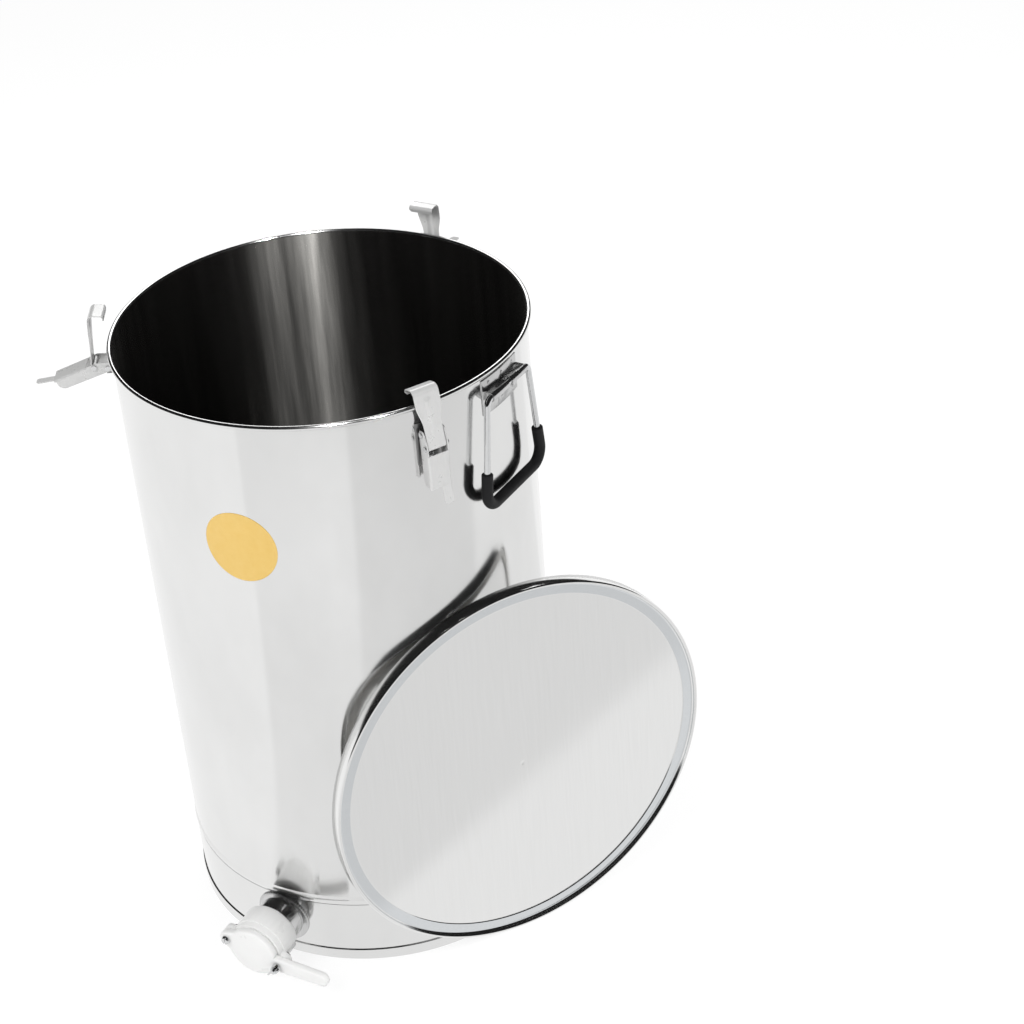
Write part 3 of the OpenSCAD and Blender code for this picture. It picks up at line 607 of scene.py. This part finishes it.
# face of the lid from the middle out: dimple, flat panel, step up to the ring, sweep up to the rolled lip and
# the skirt, then back underneath; the second result is the band of rows that make up the ring, which starts
# half-way round the step's upper bend and ends in the sweep
def lidProfile(f):
    press, sheet, hold, hem = f["press"], f["sheet"], f["hold"], f["hem"]
    lipIn = f["radius"] - f["lip"]
    panelR = lipIn - f["groove"]
    lipR = f["lip"] / 2
    sweep = f["lipTop"] - lipR - f["ringZ"]
    ball = (f["dimple"] ** 2 + f["pit"] ** 2) / (2.0 * f["pit"])
    pit = np.linspace(f["pole"], f["dimple"], f["pitRows"])
    well = np.stack([pit, f["panelZ"] + ball - f["pit"] - np.sqrt(ball ** 2 - pit ** 2)], axis=-1)
    flat = np.linspace(f["flatFrom"], panelR - press - hold, f["flatRows"])
    flat = np.concatenate([[f["dimple"] + hold], flat])
    panel = np.stack([flat, f["panelZ"] + 0.0 * flat], axis=-1)
    foot = (panelR - press, f["panelZ"] + press)
    rim = (panelR + press, f["ringZ"] - press)
    wall = (lipIn - sweep, f["ringZ"] + sweep)
    lip = (lipIn + lipR, f["lipTop"] - lipR)
    bends = f["pressRows"]
    step = np.concatenate([arcRow(foot, press, 270, 360, bends), arcRow(rim, press, 180, 90, bends)])
    edge = np.concatenate([arcRow(wall, sweep, 270, 360, 13), arcRow(lip, lipR, 180, 0, 15)[1:]])
    outR, inR, low = f["radius"], f["radius"] - sheet, f["depth"]
    skirt = np.array([[outR, lip[1] - hold], [outR, hem - low], [outR - hem, -low],
                      [inR + hem, -low], [inR, hem - low]])
    back = np.concatenate([arcRow(lip, lipR - sheet, 0, 180, 9),
                           arcRow(wall, sweep + sheet, 360, 270, 13)[1:],
                           arcRow(foot, press + sheet, 350, 270, 9), [[f["pole"], f["panelZ"] - sheet]]])
    ring = len(well) + len(panel) + bends + bends // 2
    return np.concatenate([well, panel, step, edge, skirt, back]), (ring, ring + f["ringRows"])


# the lid is drawn lying flat, then stood on its edge with its face away from the tank, leaning on the wall
def leanLid(points, f):
    lean = math.radians(f["lean"])
    touch = math.sqrt(f["radius"] ** 2 - f["side"] ** 2)
    out = f["gap"] + f["depth"] * math.cos(lean) + touch * math.sin(lean)
    up = f["radius"] * math.cos(lean) + f["depth"] * math.sin(lean) + f["seat"]
    x, y, z = points[..., 0], points[..., 1], points[..., 2]
    outward = out + x * math.sin(lean) + z * math.cos(lean)
    return onWall(f["az"], outward, f["side"] + y, up - x * math.cos(lean) + z * math.sin(lean))


lidRows, grooveRows = lidProfile(lidShape)
grooveFaces = slice(grooveRows[0] * lidShape["around"], grooveRows[1] * lidShape["around"])
lidGrid = leanLid(carriedRound(lidRows, lidShape["around"]), lidShape)
ringGrid("pressedLid", lidGrid[:, ::-1], lidSteel, "lid", replaces="lid",
         inner=(grooveSteel, grooveFaces))
print("lid made")

handle = {"out": 0.0075, "z": 0.619, "top": 0.074, "bottom": 0.103, "length": 0.109, "bendTop": 0.007,
          "bendBottom": 0.015, "bendSteps": 24, "bendHold": 0.0005, "wire": 0.003, "soft": 0.0055,
          "gripUp": 0.020, "gripEnd": 0.0012, "endRows": 7, "cols": 32}


# the bail's middle line in its own plane: a trapezium with turned corners, closed
def bailLine(h):
    top, bottom, low = h["top"] / 2, h["bottom"] / 2, -h["length"]
    corners = [(-top, 0.0), (top, 0.0), (bottom, low), (-bottom, low)]
    bends = [h["bendTop"], h["bendTop"], h["bendBottom"], h["bendBottom"]]
    return roundedLoop(corners, bends, h["bendSteps"], h["bendHold"])


# a round bar along a flat line: each row is a ring about one point of the line, square to it
def barAlong(line, ahead, radius, h, az):
    across = np.stack([-ahead[:, 1], ahead[:, 0]], axis=-1)
    q = np.linspace(0.0, 2.0 * np.pi, h["cols"], endpoint=False)
    radius = np.asarray(radius)[:, None]
    flatX = line[:, 0][:, None] + radius * across[:, 0][:, None] * np.cos(q)
    flatY = line[:, 1][:, None] + radius * across[:, 1][:, None] * np.cos(q)
    return onWall(az, h["out"] + radius * np.sin(q), flatX, h["z"] + flatY)


# heading at each point of a line: from the point before it to the point after it, at length 1
def headings(line, closed):
    ahead = np.roll(line, -1, axis=0) - np.roll(line, 1, axis=0)
    if not closed:
        ahead[0] = line[1] - line[0]
        ahead[-1] = line[-1] - line[-2]
    return ahead / np.linalg.norm(ahead, axis=1, keepdims=True)


# the grip's part of that line: a length up each leg, both lower bends and the bar between them
def gripLine(h):
    line = bailLine(h)
    count = len(line) // 4
    foot = line[2 * count:]
    legs = headings(foot, False)
    up = h["gripUp"] - h["bendHold"]
    return np.concatenate([[foot[0] - legs[0] * up], foot, [foot[-1] + legs[-1] * up]])


# the grip swells from the wire to its full thickness over a rounded end
def gripBar(h, az):
    line = gripLine(h)
    ahead = headings(line, False)
    turn = np.linspace(0.0, np.pi / 2, h["endRows"])
    swell = h["soft"] - h["gripEnd"] + h["gripEnd"] * np.sin(turn)
    slide = h["gripEnd"] * (1.0 - np.cos(turn))
    start = line[0] + ahead[0] * slide[:, None]
    end = line[-1] - ahead[-1] * slide[::-1][:, None]
    full = np.concatenate([[line[0]], start, line[1:-1], end, [line[-1]]])
    bar = np.full(len(line) - 2, h["soft"])
    thick = np.concatenate([[h["wire"]], swell, bar, swell[::-1], [h["wire"]]])
    ends = h["endRows"] + 1
    first, last = np.repeat(ahead[:1], ends, axis=0), np.repeat(ahead[-1:], ends, axis=0)
    way = np.concatenate([first, ahead[1:-1], last])
    return barAlong(full, way, thick, h, az)


for sideName, az in handleSides.items():
    line = bailLine(handle)
    wire = barAlong(line, headings(line, True), np.full(len(line), handle["wire"]), handle, az)
    ringGrid("bailWire_" + sideName, wire, brightSteel, "handle_" + sideName, loop=True,
             replaces="handle_bail_" + sideName)
    ringGrid("softGrip_" + sideName, gripBar(handle, az), blackRubber, "handle_" + sideName,
             replaces="handle_grip_" + sideName)
print("handles made")

# places gives each latch's angle round the tank and how far its lever stands open
latch = {"places": {"front": (-65.0, 0.0), "left": (175.0, 70.0), "rear": (55.0, 70.0)}, "leanOpen": 5.0,
         "pinOut": 0.0065, "pinZ": 0.613, "crank": 0.012, "crankOut": 0.006, "sheet": 0.0012,
         "eyeOut": 0.0028, "rimGap": 0.0003}


# lean of the closed hook: the turn at which its inner face just clears the rolled rim
def closedLean(f):
    rimX = tank["curlR"] - tank["wall"] - f["pinOut"] - f["crankOut"]
    rimZ = tank["rimZ"] - tank["curlR"] - f["pinZ"] + f["crank"]
    reach = f["eyeOut"] - f["sheet"] - tank["curlR"] - f["rimGap"]
    return math.degrees(math.atan2(rimZ, rimX) - math.acos(reach / math.hypot(rimX, rimZ)))


# points drawn about a pin (x outwards, y along the wall, z up), turned about it and set on the wall
def aboutPin(points, az, turn, pin):
    a = math.radians(turn)
    x, y, z = points[..., 0], points[..., 1], points[..., 2]
    out = pin[0] + x * math.cos(a) - z * math.sin(a)
    return onWall(az, out, y, pin[1] + x * math.sin(a) + z * math.cos(a))


# 0 up to low, 1 from high on, and an S-shaped cubic between them
def smoothStep(value, low, high):
    t = np.clip((value - low) / (high - low), 0.0, 1.0)
    return t * t * (3.0 - 2.0 * t)


# shares of a strip's half width and of its thickness at the two eased rows of each edge
stripEdge = {"places": (1.0, 0.985), "thick": (0.45, 0.85), "flat": 0.96}


# a strip carried along a line of x and z: each row is the strip's cross-section, with eased edges, square to
# the line; a rib, a squared cosine across its half width, lifts both faces off the line alike
def stripAlong(line, width, thick, middle=0.0, across=21, ribRise=0.0, ribHalf=1.0):
    ahead = headings(line, False)
    outer, thin = np.array(stripEdge["places"]), np.array(stripEdge["thick"])
    flat = np.concatenate([-outer, np.linspace(-stripEdge["flat"], stripEdge["flat"], across), outer[::-1]])
    full = np.concatenate([thin, np.ones(across), thin[::-1]])
    eta = np.concatenate([flat, flat[::-1]])
    side = np.concatenate([full, -full]) * thick / 2
    y = middle + np.asarray(width)[:, None] / 2 * eta
    lift = side + ribRise * np.cos(np.clip(y / ribHalf, -1.0, 1.0) * np.pi / 2) ** 2
    x = line[:, 0][:, None] + ahead[:, 1][:, None] * lift
    z = line[:, 1][:, None] - ahead[:, 0][:, None] * lift
    return np.stack([x, y, z], axis=-1)


# eye is the radius of the strip's middle line round its pin; the hold lengths keep the flats beside the bends
hook = {"eye": 0.00229, "sheet": 0.00102, "eyeFrom": -285.0, "height": 0.0555, "curl": 0.0055,
        "topEnd": -0.0098, "tip": 0.0026, "drop": 0.0052, "low": 0.0184, "wide": 0.026, "tipWide": 0.0225,
        "narrowTo": 0.020, "wideFrom": 0.041, "ribHalf": 0.0042, "ribRise": 0.0011, "ribFrom": 0.012,
        "ribTo": 0.047, "ribEase": 0.004, "eyeHold": 0.0006, "curlHold": 0.0002, "topHold": 0.0004,
        "tipHold": 0.0003, "faceSlack": 0.0001, "across": 41,
        "rows": {"eye": 28, "strip": 40, "curl": 12, "top": 8, "tip": 9, "end": 4}}


# hook's middle line: round its eye, up the strip, over the curl and down the short tip
def hookLine(f):
    rows, height = f["rows"], f["height"]
    foot = height - f["curl"]
    curlX = f["eye"] - f["curl"]
    eye = arcRow((0.0, 0.0), f["eye"], f["eyeFrom"], 0.0, rows["eye"])
    rising = np.linspace(f["eyeHold"], foot - f["curlHold"], rows["strip"])
    strip = np.stack([np.full(rows["strip"], f["eye"]), rising], axis=-1)
    curl = arcRow((curlX, foot), f["curl"], 0.0, 90.0, rows["curl"])
    inward = np.linspace(curlX - f["topHold"], f["topEnd"] + f["topHold"], rows["top"])
    top = np.stack([inward, np.full(rows["top"], height)], axis=-1)
    tip = arcRow((f["topEnd"], height - f["tip"]), f["tip"], 90.0, 180.0, rows["tip"])
    falling = np.linspace(tip[-1, 1] - f["tipHold"], height - f["drop"], rows["end"])
    end = np.stack([np.full(rows["end"], f["topEnd"] - f["tip"]), falling], axis=-1)
    return np.concatenate([eye, strip, curl, top, tip, end])


# the strip widens from its eye to its curl, and a pressed rib runs up its middle
def hookStrip(f):
    line = hookLine(f)
    eyeCount, endCount = f["rows"]["eye"], f["rows"]["end"]
    pastEye = np.arange(len(line)) >= eyeCount
    up = np.where(pastEye, line[:, 1], 0.0)
    width = f["low"] + (f["wide"] - f["low"]) * smoothStep(up, f["narrowTo"], f["wideFrom"])
    width[-endCount:] = np.linspace(f["wide"], f["tipWide"], endCount)
    onStrip = pastEye & (line[:, 0] > f["eye"] - f["faceSlack"])
    along = smoothStep(up, f["ribFrom"], f["ribFrom"] + f["ribEase"])
    along = along * smoothStep(-up, -f["ribTo"], f["ribEase"] - f["ribTo"]) * onStrip
    rise = f["ribRise"] * along[:, None]
    return stripAlong(line, width, f["sheet"], across=f["across"], ribRise=rise, ribHalf=f["ribHalf"])


lever = {"half": 0.011, "back": 0.0096, "fold": 0.0022, "webFrom": -0.0192, "webTo": -0.054, "webHold": 0.002,
         "webThin": 0.6, "armR": 0.0038, "armFront": 0.0092, "armKnee": -0.009, "armFoot": -0.0525,
         "armBack": -0.0023, "armRound": 0.97, "heel": 0.009, "heelRound": 0.8, "footRound": 0.0006,
         "foldRound": 0.0003, "frontRound": 0.0006, "kneeRound": 0.003, "cornerSteps": 8, "foldRows": 9,
         "edge": 0.0002, "tabWide": 0.009, "tabSide": 0.005, "tabLong": 0.018, "tabTilt": 14.0,
         "tabRoot": 0.0004, "tabCorner": 0.0025, "tabHold": 0.0002, "tabThick": 0.95, "tabRows": 8}


# outline drawn in at both faces by a small round: rows run from one face over the edge to the other
def plateRows(outline, thick, edge):
    ahead = headings(outline, True)
    inward = np.stack([-ahead[:, 1], ahead[:, 0]], axis=-1)
    turn = np.radians(np.linspace(0.0, 90.0, 4))
    inset = np.concatenate([edge * (1.0 - np.sin(turn)), edge * (1.0 - np.cos(turn))])
    depth = np.concatenate([edge * (1.0 - np.cos(turn)), thick - edge * (1.0 - np.sin(turn))])
    return outline + inset[:, None, None] * inward, depth[:, None] + 0.0 * outline[:, 0]


# side arm of the lever: round at its pin, deeper below, with a rounded heel
def leverArm(f, sideways):
    foldBack = f["back"] - f["fold"]
    corners = [(-f["armR"], f["armR"]), (f["armBack"], f["armFoot"]), (foldBack, f["armFoot"]),
               (foldBack, f["webFrom"]), (f["armFront"], f["webFrom"]), (f["armFront"], f["armKnee"]),
               (f["armR"], f["armR"])]
    pinRound = f["armR"] * f["armRound"]
    radii = [pinRound, f["heel"] * f["heelRound"], f["footRound"], f["foldRound"], f["frontRound"],
             f["kneeRound"], pinRound]
    outline = roundedLoop(corners, radii, f["cornerSteps"])
    flat, depth = plateRows(outline, latch["sheet"], f["edge"])
    start = f["half"] - latch["sheet"] if sideways > 0 else -f["half"]
    return np.stack([flat[..., 0], start + depth, flat[..., 1]], axis=-1)


# web of the lever: a channel's front with a round fold at each side, carried down the lever, its ends eased
def leverWeb(f):
    flat, fold, sheet = f["half"] - f["fold"], f["back"] - f["fold"], latch["sheet"]
    count, inR = f["foldRows"], f["fold"] - sheet
    left, right = (-flat, fold), (flat, fold)
    outR = f["fold"]
    outer = np.concatenate([arcRow(left, outR, 180.0, 90.0, count), arcRow(right, outR, 90.0, 0.0, count)])
    inner = np.concatenate([arcRow(right, inR, 0.0, 90.0, count), arcRow(left, inR, 90.0, 180.0, count)])
    middle = np.concatenate([(outer + inner[::-1]) / 2, (outer[::-1] + inner) / 2])
    loop = np.concatenate([outer, inner])
    high, low = f["webFrom"], f["webTo"]
    between = np.linspace(high - f["webHold"], low + f["webHold"], 6)
    z = np.concatenate([[high, high - f["edge"]], between, [low + f["edge"], low]])
    ease = np.ones((len(z), 1, 1))
    ease[[0, -1]] = f["webThin"]
    ring = middle + (loop - middle) * ease
    return np.stack([ring[..., 1], ring[..., 0], z[:, None] + 0.0 * ring[..., 0]], axis=-1)


# finger tab: a narrow strip that leaves the web's end at a tilt and ends in rounded corners
def fingerTab(f):
    straight = f["tabLong"] - f["tabCorner"]
    rounded = straight + f["tabCorner"] * np.sin(np.linspace(0.0, np.pi / 2, f["tabRows"]))
    along = np.concatenate([np.linspace(0.0, straight - f["tabHold"], f["tabRows"]), rounded])
    tilt = math.radians(f["tabTilt"])
    line = np.stack([f["back"] - latch["sheet"] / 2 + along * math.sin(tilt),
                     f["webTo"] + f["tabRoot"] - along * math.cos(tilt)], axis=-1)
    ended = np.clip((along - straight) / f["tabCorner"], 0.0, 1.0)
    width = f["tabWide"] - 2.0 * f["tabCorner"] * (1.0 - np.sqrt(1.0 - ended ** 2))
    return stripAlong(line, width, latch["sheet"] * f["tabThick"], middle=f["tabSide"])


for latchName, (az, opened) in latch["places"].items():
    turn = math.radians(opened)
    pin = (latch["pinOut"], latch["pinZ"])
    hookPin = (pin[0] + latch["crankOut"] * math.cos(turn) + latch["crank"] * math.sin(turn),
               pin[1] + latch["crankOut"] * math.sin(turn) - latch["crank"] * math.cos(turn))
    lean = latch["leanOpen"] if opened else closedLean(latch)
    bentStrip = aboutPin(hookStrip(hook), az, lean, hookPin)
    shellPiece("stripHook_" + latchName, [bentStrip], latchSteel, "hook_" + latchName,
               replaces="latch_hook_" + latchName)
    channel = [leverArm(lever, -1), leverArm(lever, 1), leverWeb(lever), fingerTab(lever)]
    swung = [aboutPin(shell, az, opened, pin) for shell in channel]
    shellPiece("channelLever_" + latchName, swung, latchSteel, "lever_" + latchName,
               replaces="latch_lever_" + latchName)
print("latches made")

# the arcs are in degrees about the middles of the ear and the disc
gate = {"az": -125.0, "z": 0.045, "roll": -14.5, "face": 0.0523, "thick": 0.008, "edge": 0.0022,
        "disc": 0.0275, "lowArc": (211.0, 334.0), "highArc": (22.0, 149.0), "ear": 0.0305, "earR": 0.0085,
        "earArc": (115.0, 245.0), "notch": 0.0034, "notchFoot": -0.0075, "lipLow": 0.002, "lipHigh": 0.001,
        "footHigh": 0.003, "footLow": 0.0005, "footOut": 0.001, "gripRoot": 0.0265,
        "gripTip": (0.0804, 0.0132), "tipR": 0.0075}


# outline of the blade: pivot ear, round disc, open notch for the stud and the long handle, whose sides touch
# the rounds at its root and its tip
def bladeOutline(f):
    tip = np.array(f["gripTip"]) - np.array([f["gripRoot"], 0.0])
    slant = math.degrees(math.atan2(tip[1], tip[0]))
    pull = math.degrees(math.asin((f["earR"] - f["tipR"]) / np.hypot(tip[0], tip[1])))
    upper = slant + 90.0 - pull
    ear = arcRow((-f["ear"], 0.0), f["earR"], *f["earArc"], 20)
    low = arcRow((0.0, 0.0), f["disc"], *f["lowArc"], 48)
    notch = arcRow((f["ear"], 0.0), f["notch"], 180.0, 0.0, 16)
    nearX, farX, footY = f["ear"] - f["notch"], f["ear"] + f["notch"], f["notchFoot"]
    lip = np.array([[nearX, footY - f["lipLow"]], [nearX, footY + f["lipHigh"]]])
    foot = np.array([[farX, footY + f["footHigh"]], [farX + f["footOut"], footY + f["footLow"]]])
    end = arcRow(f["gripTip"], f["tipR"], slant - 90.0 + pull, upper, 24)
    root = arcRow((f["gripRoot"], 0.0), f["earR"], upper, upper, 1)
    high = arcRow((0.0, 0.0), f["disc"], *f["highArc"], 48)
    return np.concatenate([ear, low, lip, notch, foot, end, root, high])


# the blade is that outline as a thick plate with well rounded edges, set square on the outlet and rolled
# about it
def gateBlade(f):
    flat, depth = plateRows(bladeOutline(f), f["thick"], f["edge"])
    roll = math.radians(f["roll"])
    side = flat[..., 0] * math.cos(roll) - flat[..., 1] * math.sin(roll)
    up = flat[..., 0] * math.sin(roll) + flat[..., 1] * math.cos(roll)
    return onWall(f["az"], f["face"] + depth, side, f["z"] + up)


shellPiece("gateBlade", [gateBlade(gate)], whitePlastic, "gate", replaces="gate_blade")
print("gate blade made")

# floor, backdrop and light: the tank stands on a white sheet, and metal shows the floor in front of it a
# little greyer
studio = {"floorSize": 9.0, "floorColour": (0.95, 0.95, 0.95), "floorRough": 0.9, "lit": 0.25, "white": 1.1,
          "sheet": 0.92, "sheetEdge": -0.32, "side": 1.0, "sideTurn": -140.0, "frontLeft": 0.91,
          "frontRight": 0.80, "frontMiddle": (-0.107, -0.3), "frontTurn": -75.5, "soft": 0.012,
          "worldStrength": 0.55, "ceiling": 0.015, "ceilingFrom": -0.03, "ceilingTo": 0.04,
          "lampAim": (0.0, 0.0, 0.45)}


# how far a floor point lies to the left of a line through a point, given the line's direction, as a soft
# step from 0 to 1
def leftOf(tree, coord, through, turn, soft):
    a = math.radians(turn)
    across = {0: coord, 1: (-math.sin(a), math.cos(a), 0.0)}
    flat = addNode(tree, "ShaderNodeVectorMath", across, operation="DOT_PRODUCT")
    away = -math.sin(a) * through[0] + math.cos(a) * through[1]
    return remap(tree, flat.outputs["Value"], 0.0, 1.0, away - soft, away + soft)


def blendValue(tree, fac, low, high):
    return addNode(tree, "ShaderNodeMix", {0: fac, 2: low, 3: high}).outputs[0]


# what metal sees of the floor: the white sheet, two greyer stretches in front of it and a bright side
def floorTone(tree, s):
    coord = addNode(tree, "ShaderNodeTexCoord").outputs["Object"]
    left = leftOf(tree, coord, s["frontMiddle"], s["frontTurn"], s["soft"])
    front = leftOf(tree, coord, (0.0, s["sheetEdge"]), 180.0, s["soft"])
    side = leftOf(tree, coord, (0.0, 0.0), s["sideTurn"] + 180.0, s["soft"])
    before = blendValue(tree, left, s["frontLeft"], s["frontRight"])
    return blendValue(tree, side, blendValue(tree, front, s["sheet"], before), s["side"])


# to the camera the floor is mostly glow, with a share of real light that holds the shadow; metal sees the
# glow alone, and soft light meets a plain pale floor
def makeFloor(s):
    half = s["floorSize"] / 2
    mesh = bpy.data.meshes.new("paleFloor")
    corners = [(-half, -half, 0), (half, -half, 0), (half, half, 0), (-half, half, 0)]
    mesh.from_pydata(corners, [], [(0, 1, 2, 3)])
    floor = bpy.data.objects.new("paleFloor", mesh)
    scene.collection.objects.link(floor)
    mat, tree, bsdf = newMaterial("paleFloor")
    bsdf.inputs["Base Color"].default_value = (*s["floorColour"], 1.0)
    bsdf.inputs["Roughness"].default_value = s["floorRough"]
    path = addNode(tree, "ShaderNodeLightPath")
    clear = larger(tree, path.outputs["Is Camera Ray"], path.outputs["Is Transmission Ray"])
    shiny = larger(tree, clear, path.outputs["Is Glossy Ray"])
    strength = blendValue(tree, clear, floorTone(tree, s), s["white"])
    glow = addNode(tree, "ShaderNodeEmission", {"Color": (1.0, 1.0, 1.0, 1.0), "Strength": strength})
    share = blendValue(tree, clear, shiny, 1.0 - s["lit"])
    mix = addNode(tree, "ShaderNodeMixShader", {0: share, 1: bsdf.outputs[0], 2: glow.outputs[0]})
    tree.links.new(mix.outputs[0], tree.nodes["Material Output"].inputs["Surface"])
    mesh.materials.append(mat)


# world: an even soft light, white round the horizon and a dark ceiling for what metal shows
def makeWorld(s):
    world = bpy.data.worlds.new("paleStudio")
    scene.world = world
    world.use_nodes = True
    tree = world.node_tree
    back = tree.nodes["Background"]
    way = addNode(tree, "ShaderNodeTexCoord").outputs["Generated"]
    height = addNode(tree, "ShaderNodeSeparateXYZ", {0: way}).outputs["Z"]
    dome = remap(tree, height, 1.0, s["ceiling"], s["ceilingFrom"], s["ceilingTo"])
    path = addNode(tree, "ShaderNodeLightPath")
    clear = larger(tree, path.outputs["Is Camera Ray"], path.outputs["Is Transmission Ray"])
    shiny = blendValue(tree, path.outputs["Is Glossy Ray"], s["worldStrength"], dome)
    put(tree, back.inputs["Strength"], blendValue(tree, clear, shiny, 1.0))
    back.inputs["Color"].default_value = (1.0, 1.0, 1.0, 1.0)


# a lamp shows as soft light, in shiny surfaces or as both; one with "only" lights that piece alone
lamps = {"key": {"place": (-1.3, -1.5, 2.3), "size": (1.4, 1.4), "power": 38.0, "shows": "soft"},
         "fill": {"place": (1.8, -1.2, 1.9), "size": (1.6, 1.6), "power": 22.0, "shows": "soft"},
         "back": {"place": (0.2, 1.9, 1.9), "size": (1.4, 1.0), "power": 11.0, "shows": "both"},
         "frontStrip": {"place": (0.0, -1.15, 2.2), "size": (0.04, 0.4), "power": 300.0, "shows": "shiny",
                        "only": "bodyWall"},
         "sideStrip": {"place": (0.62, -1.1, 2.2), "size": (0.03, 0.4), "power": 100.0, "shows": "shiny",
                       "only": "bodyWall"}}


def makeLamps(lampSet, target):
    for name, s in lampSet.items():
        data = bpy.data.lights.new(name + "Lamp", "AREA")
        data.shape = "RECTANGLE"
        data.size, data.size_y = s["size"]
        data.energy = s["power"]
        lamp = bpy.data.objects.new(name + "Lamp", data)
        scene.collection.objects.link(lamp)
        lamp.visible_diffuse = s["shows"] != "shiny"
        lamp.visible_glossy = s["shows"] != "soft"
        if "only" in s:
            group = bpy.data.collections.new(name + "Receives")
            group.objects.link(bpy.data.objects[s["only"]])
            lamp.light_linking.receiver_collection = group
            data.cycles.max_bounces = 0  # its light goes no further than that piece
        aim = Vector(target) - Vector(s["place"])
        turn = aim.to_track_quat("-Z", "Y").to_matrix().to_4x4()
        lamp.matrix_world = Matrix.Translation(s["place"]) @ turn


makeFloor(studio)
makeWorld(studio)
makeLamps(lamps, studio["lampAim"])
print("studio lit")
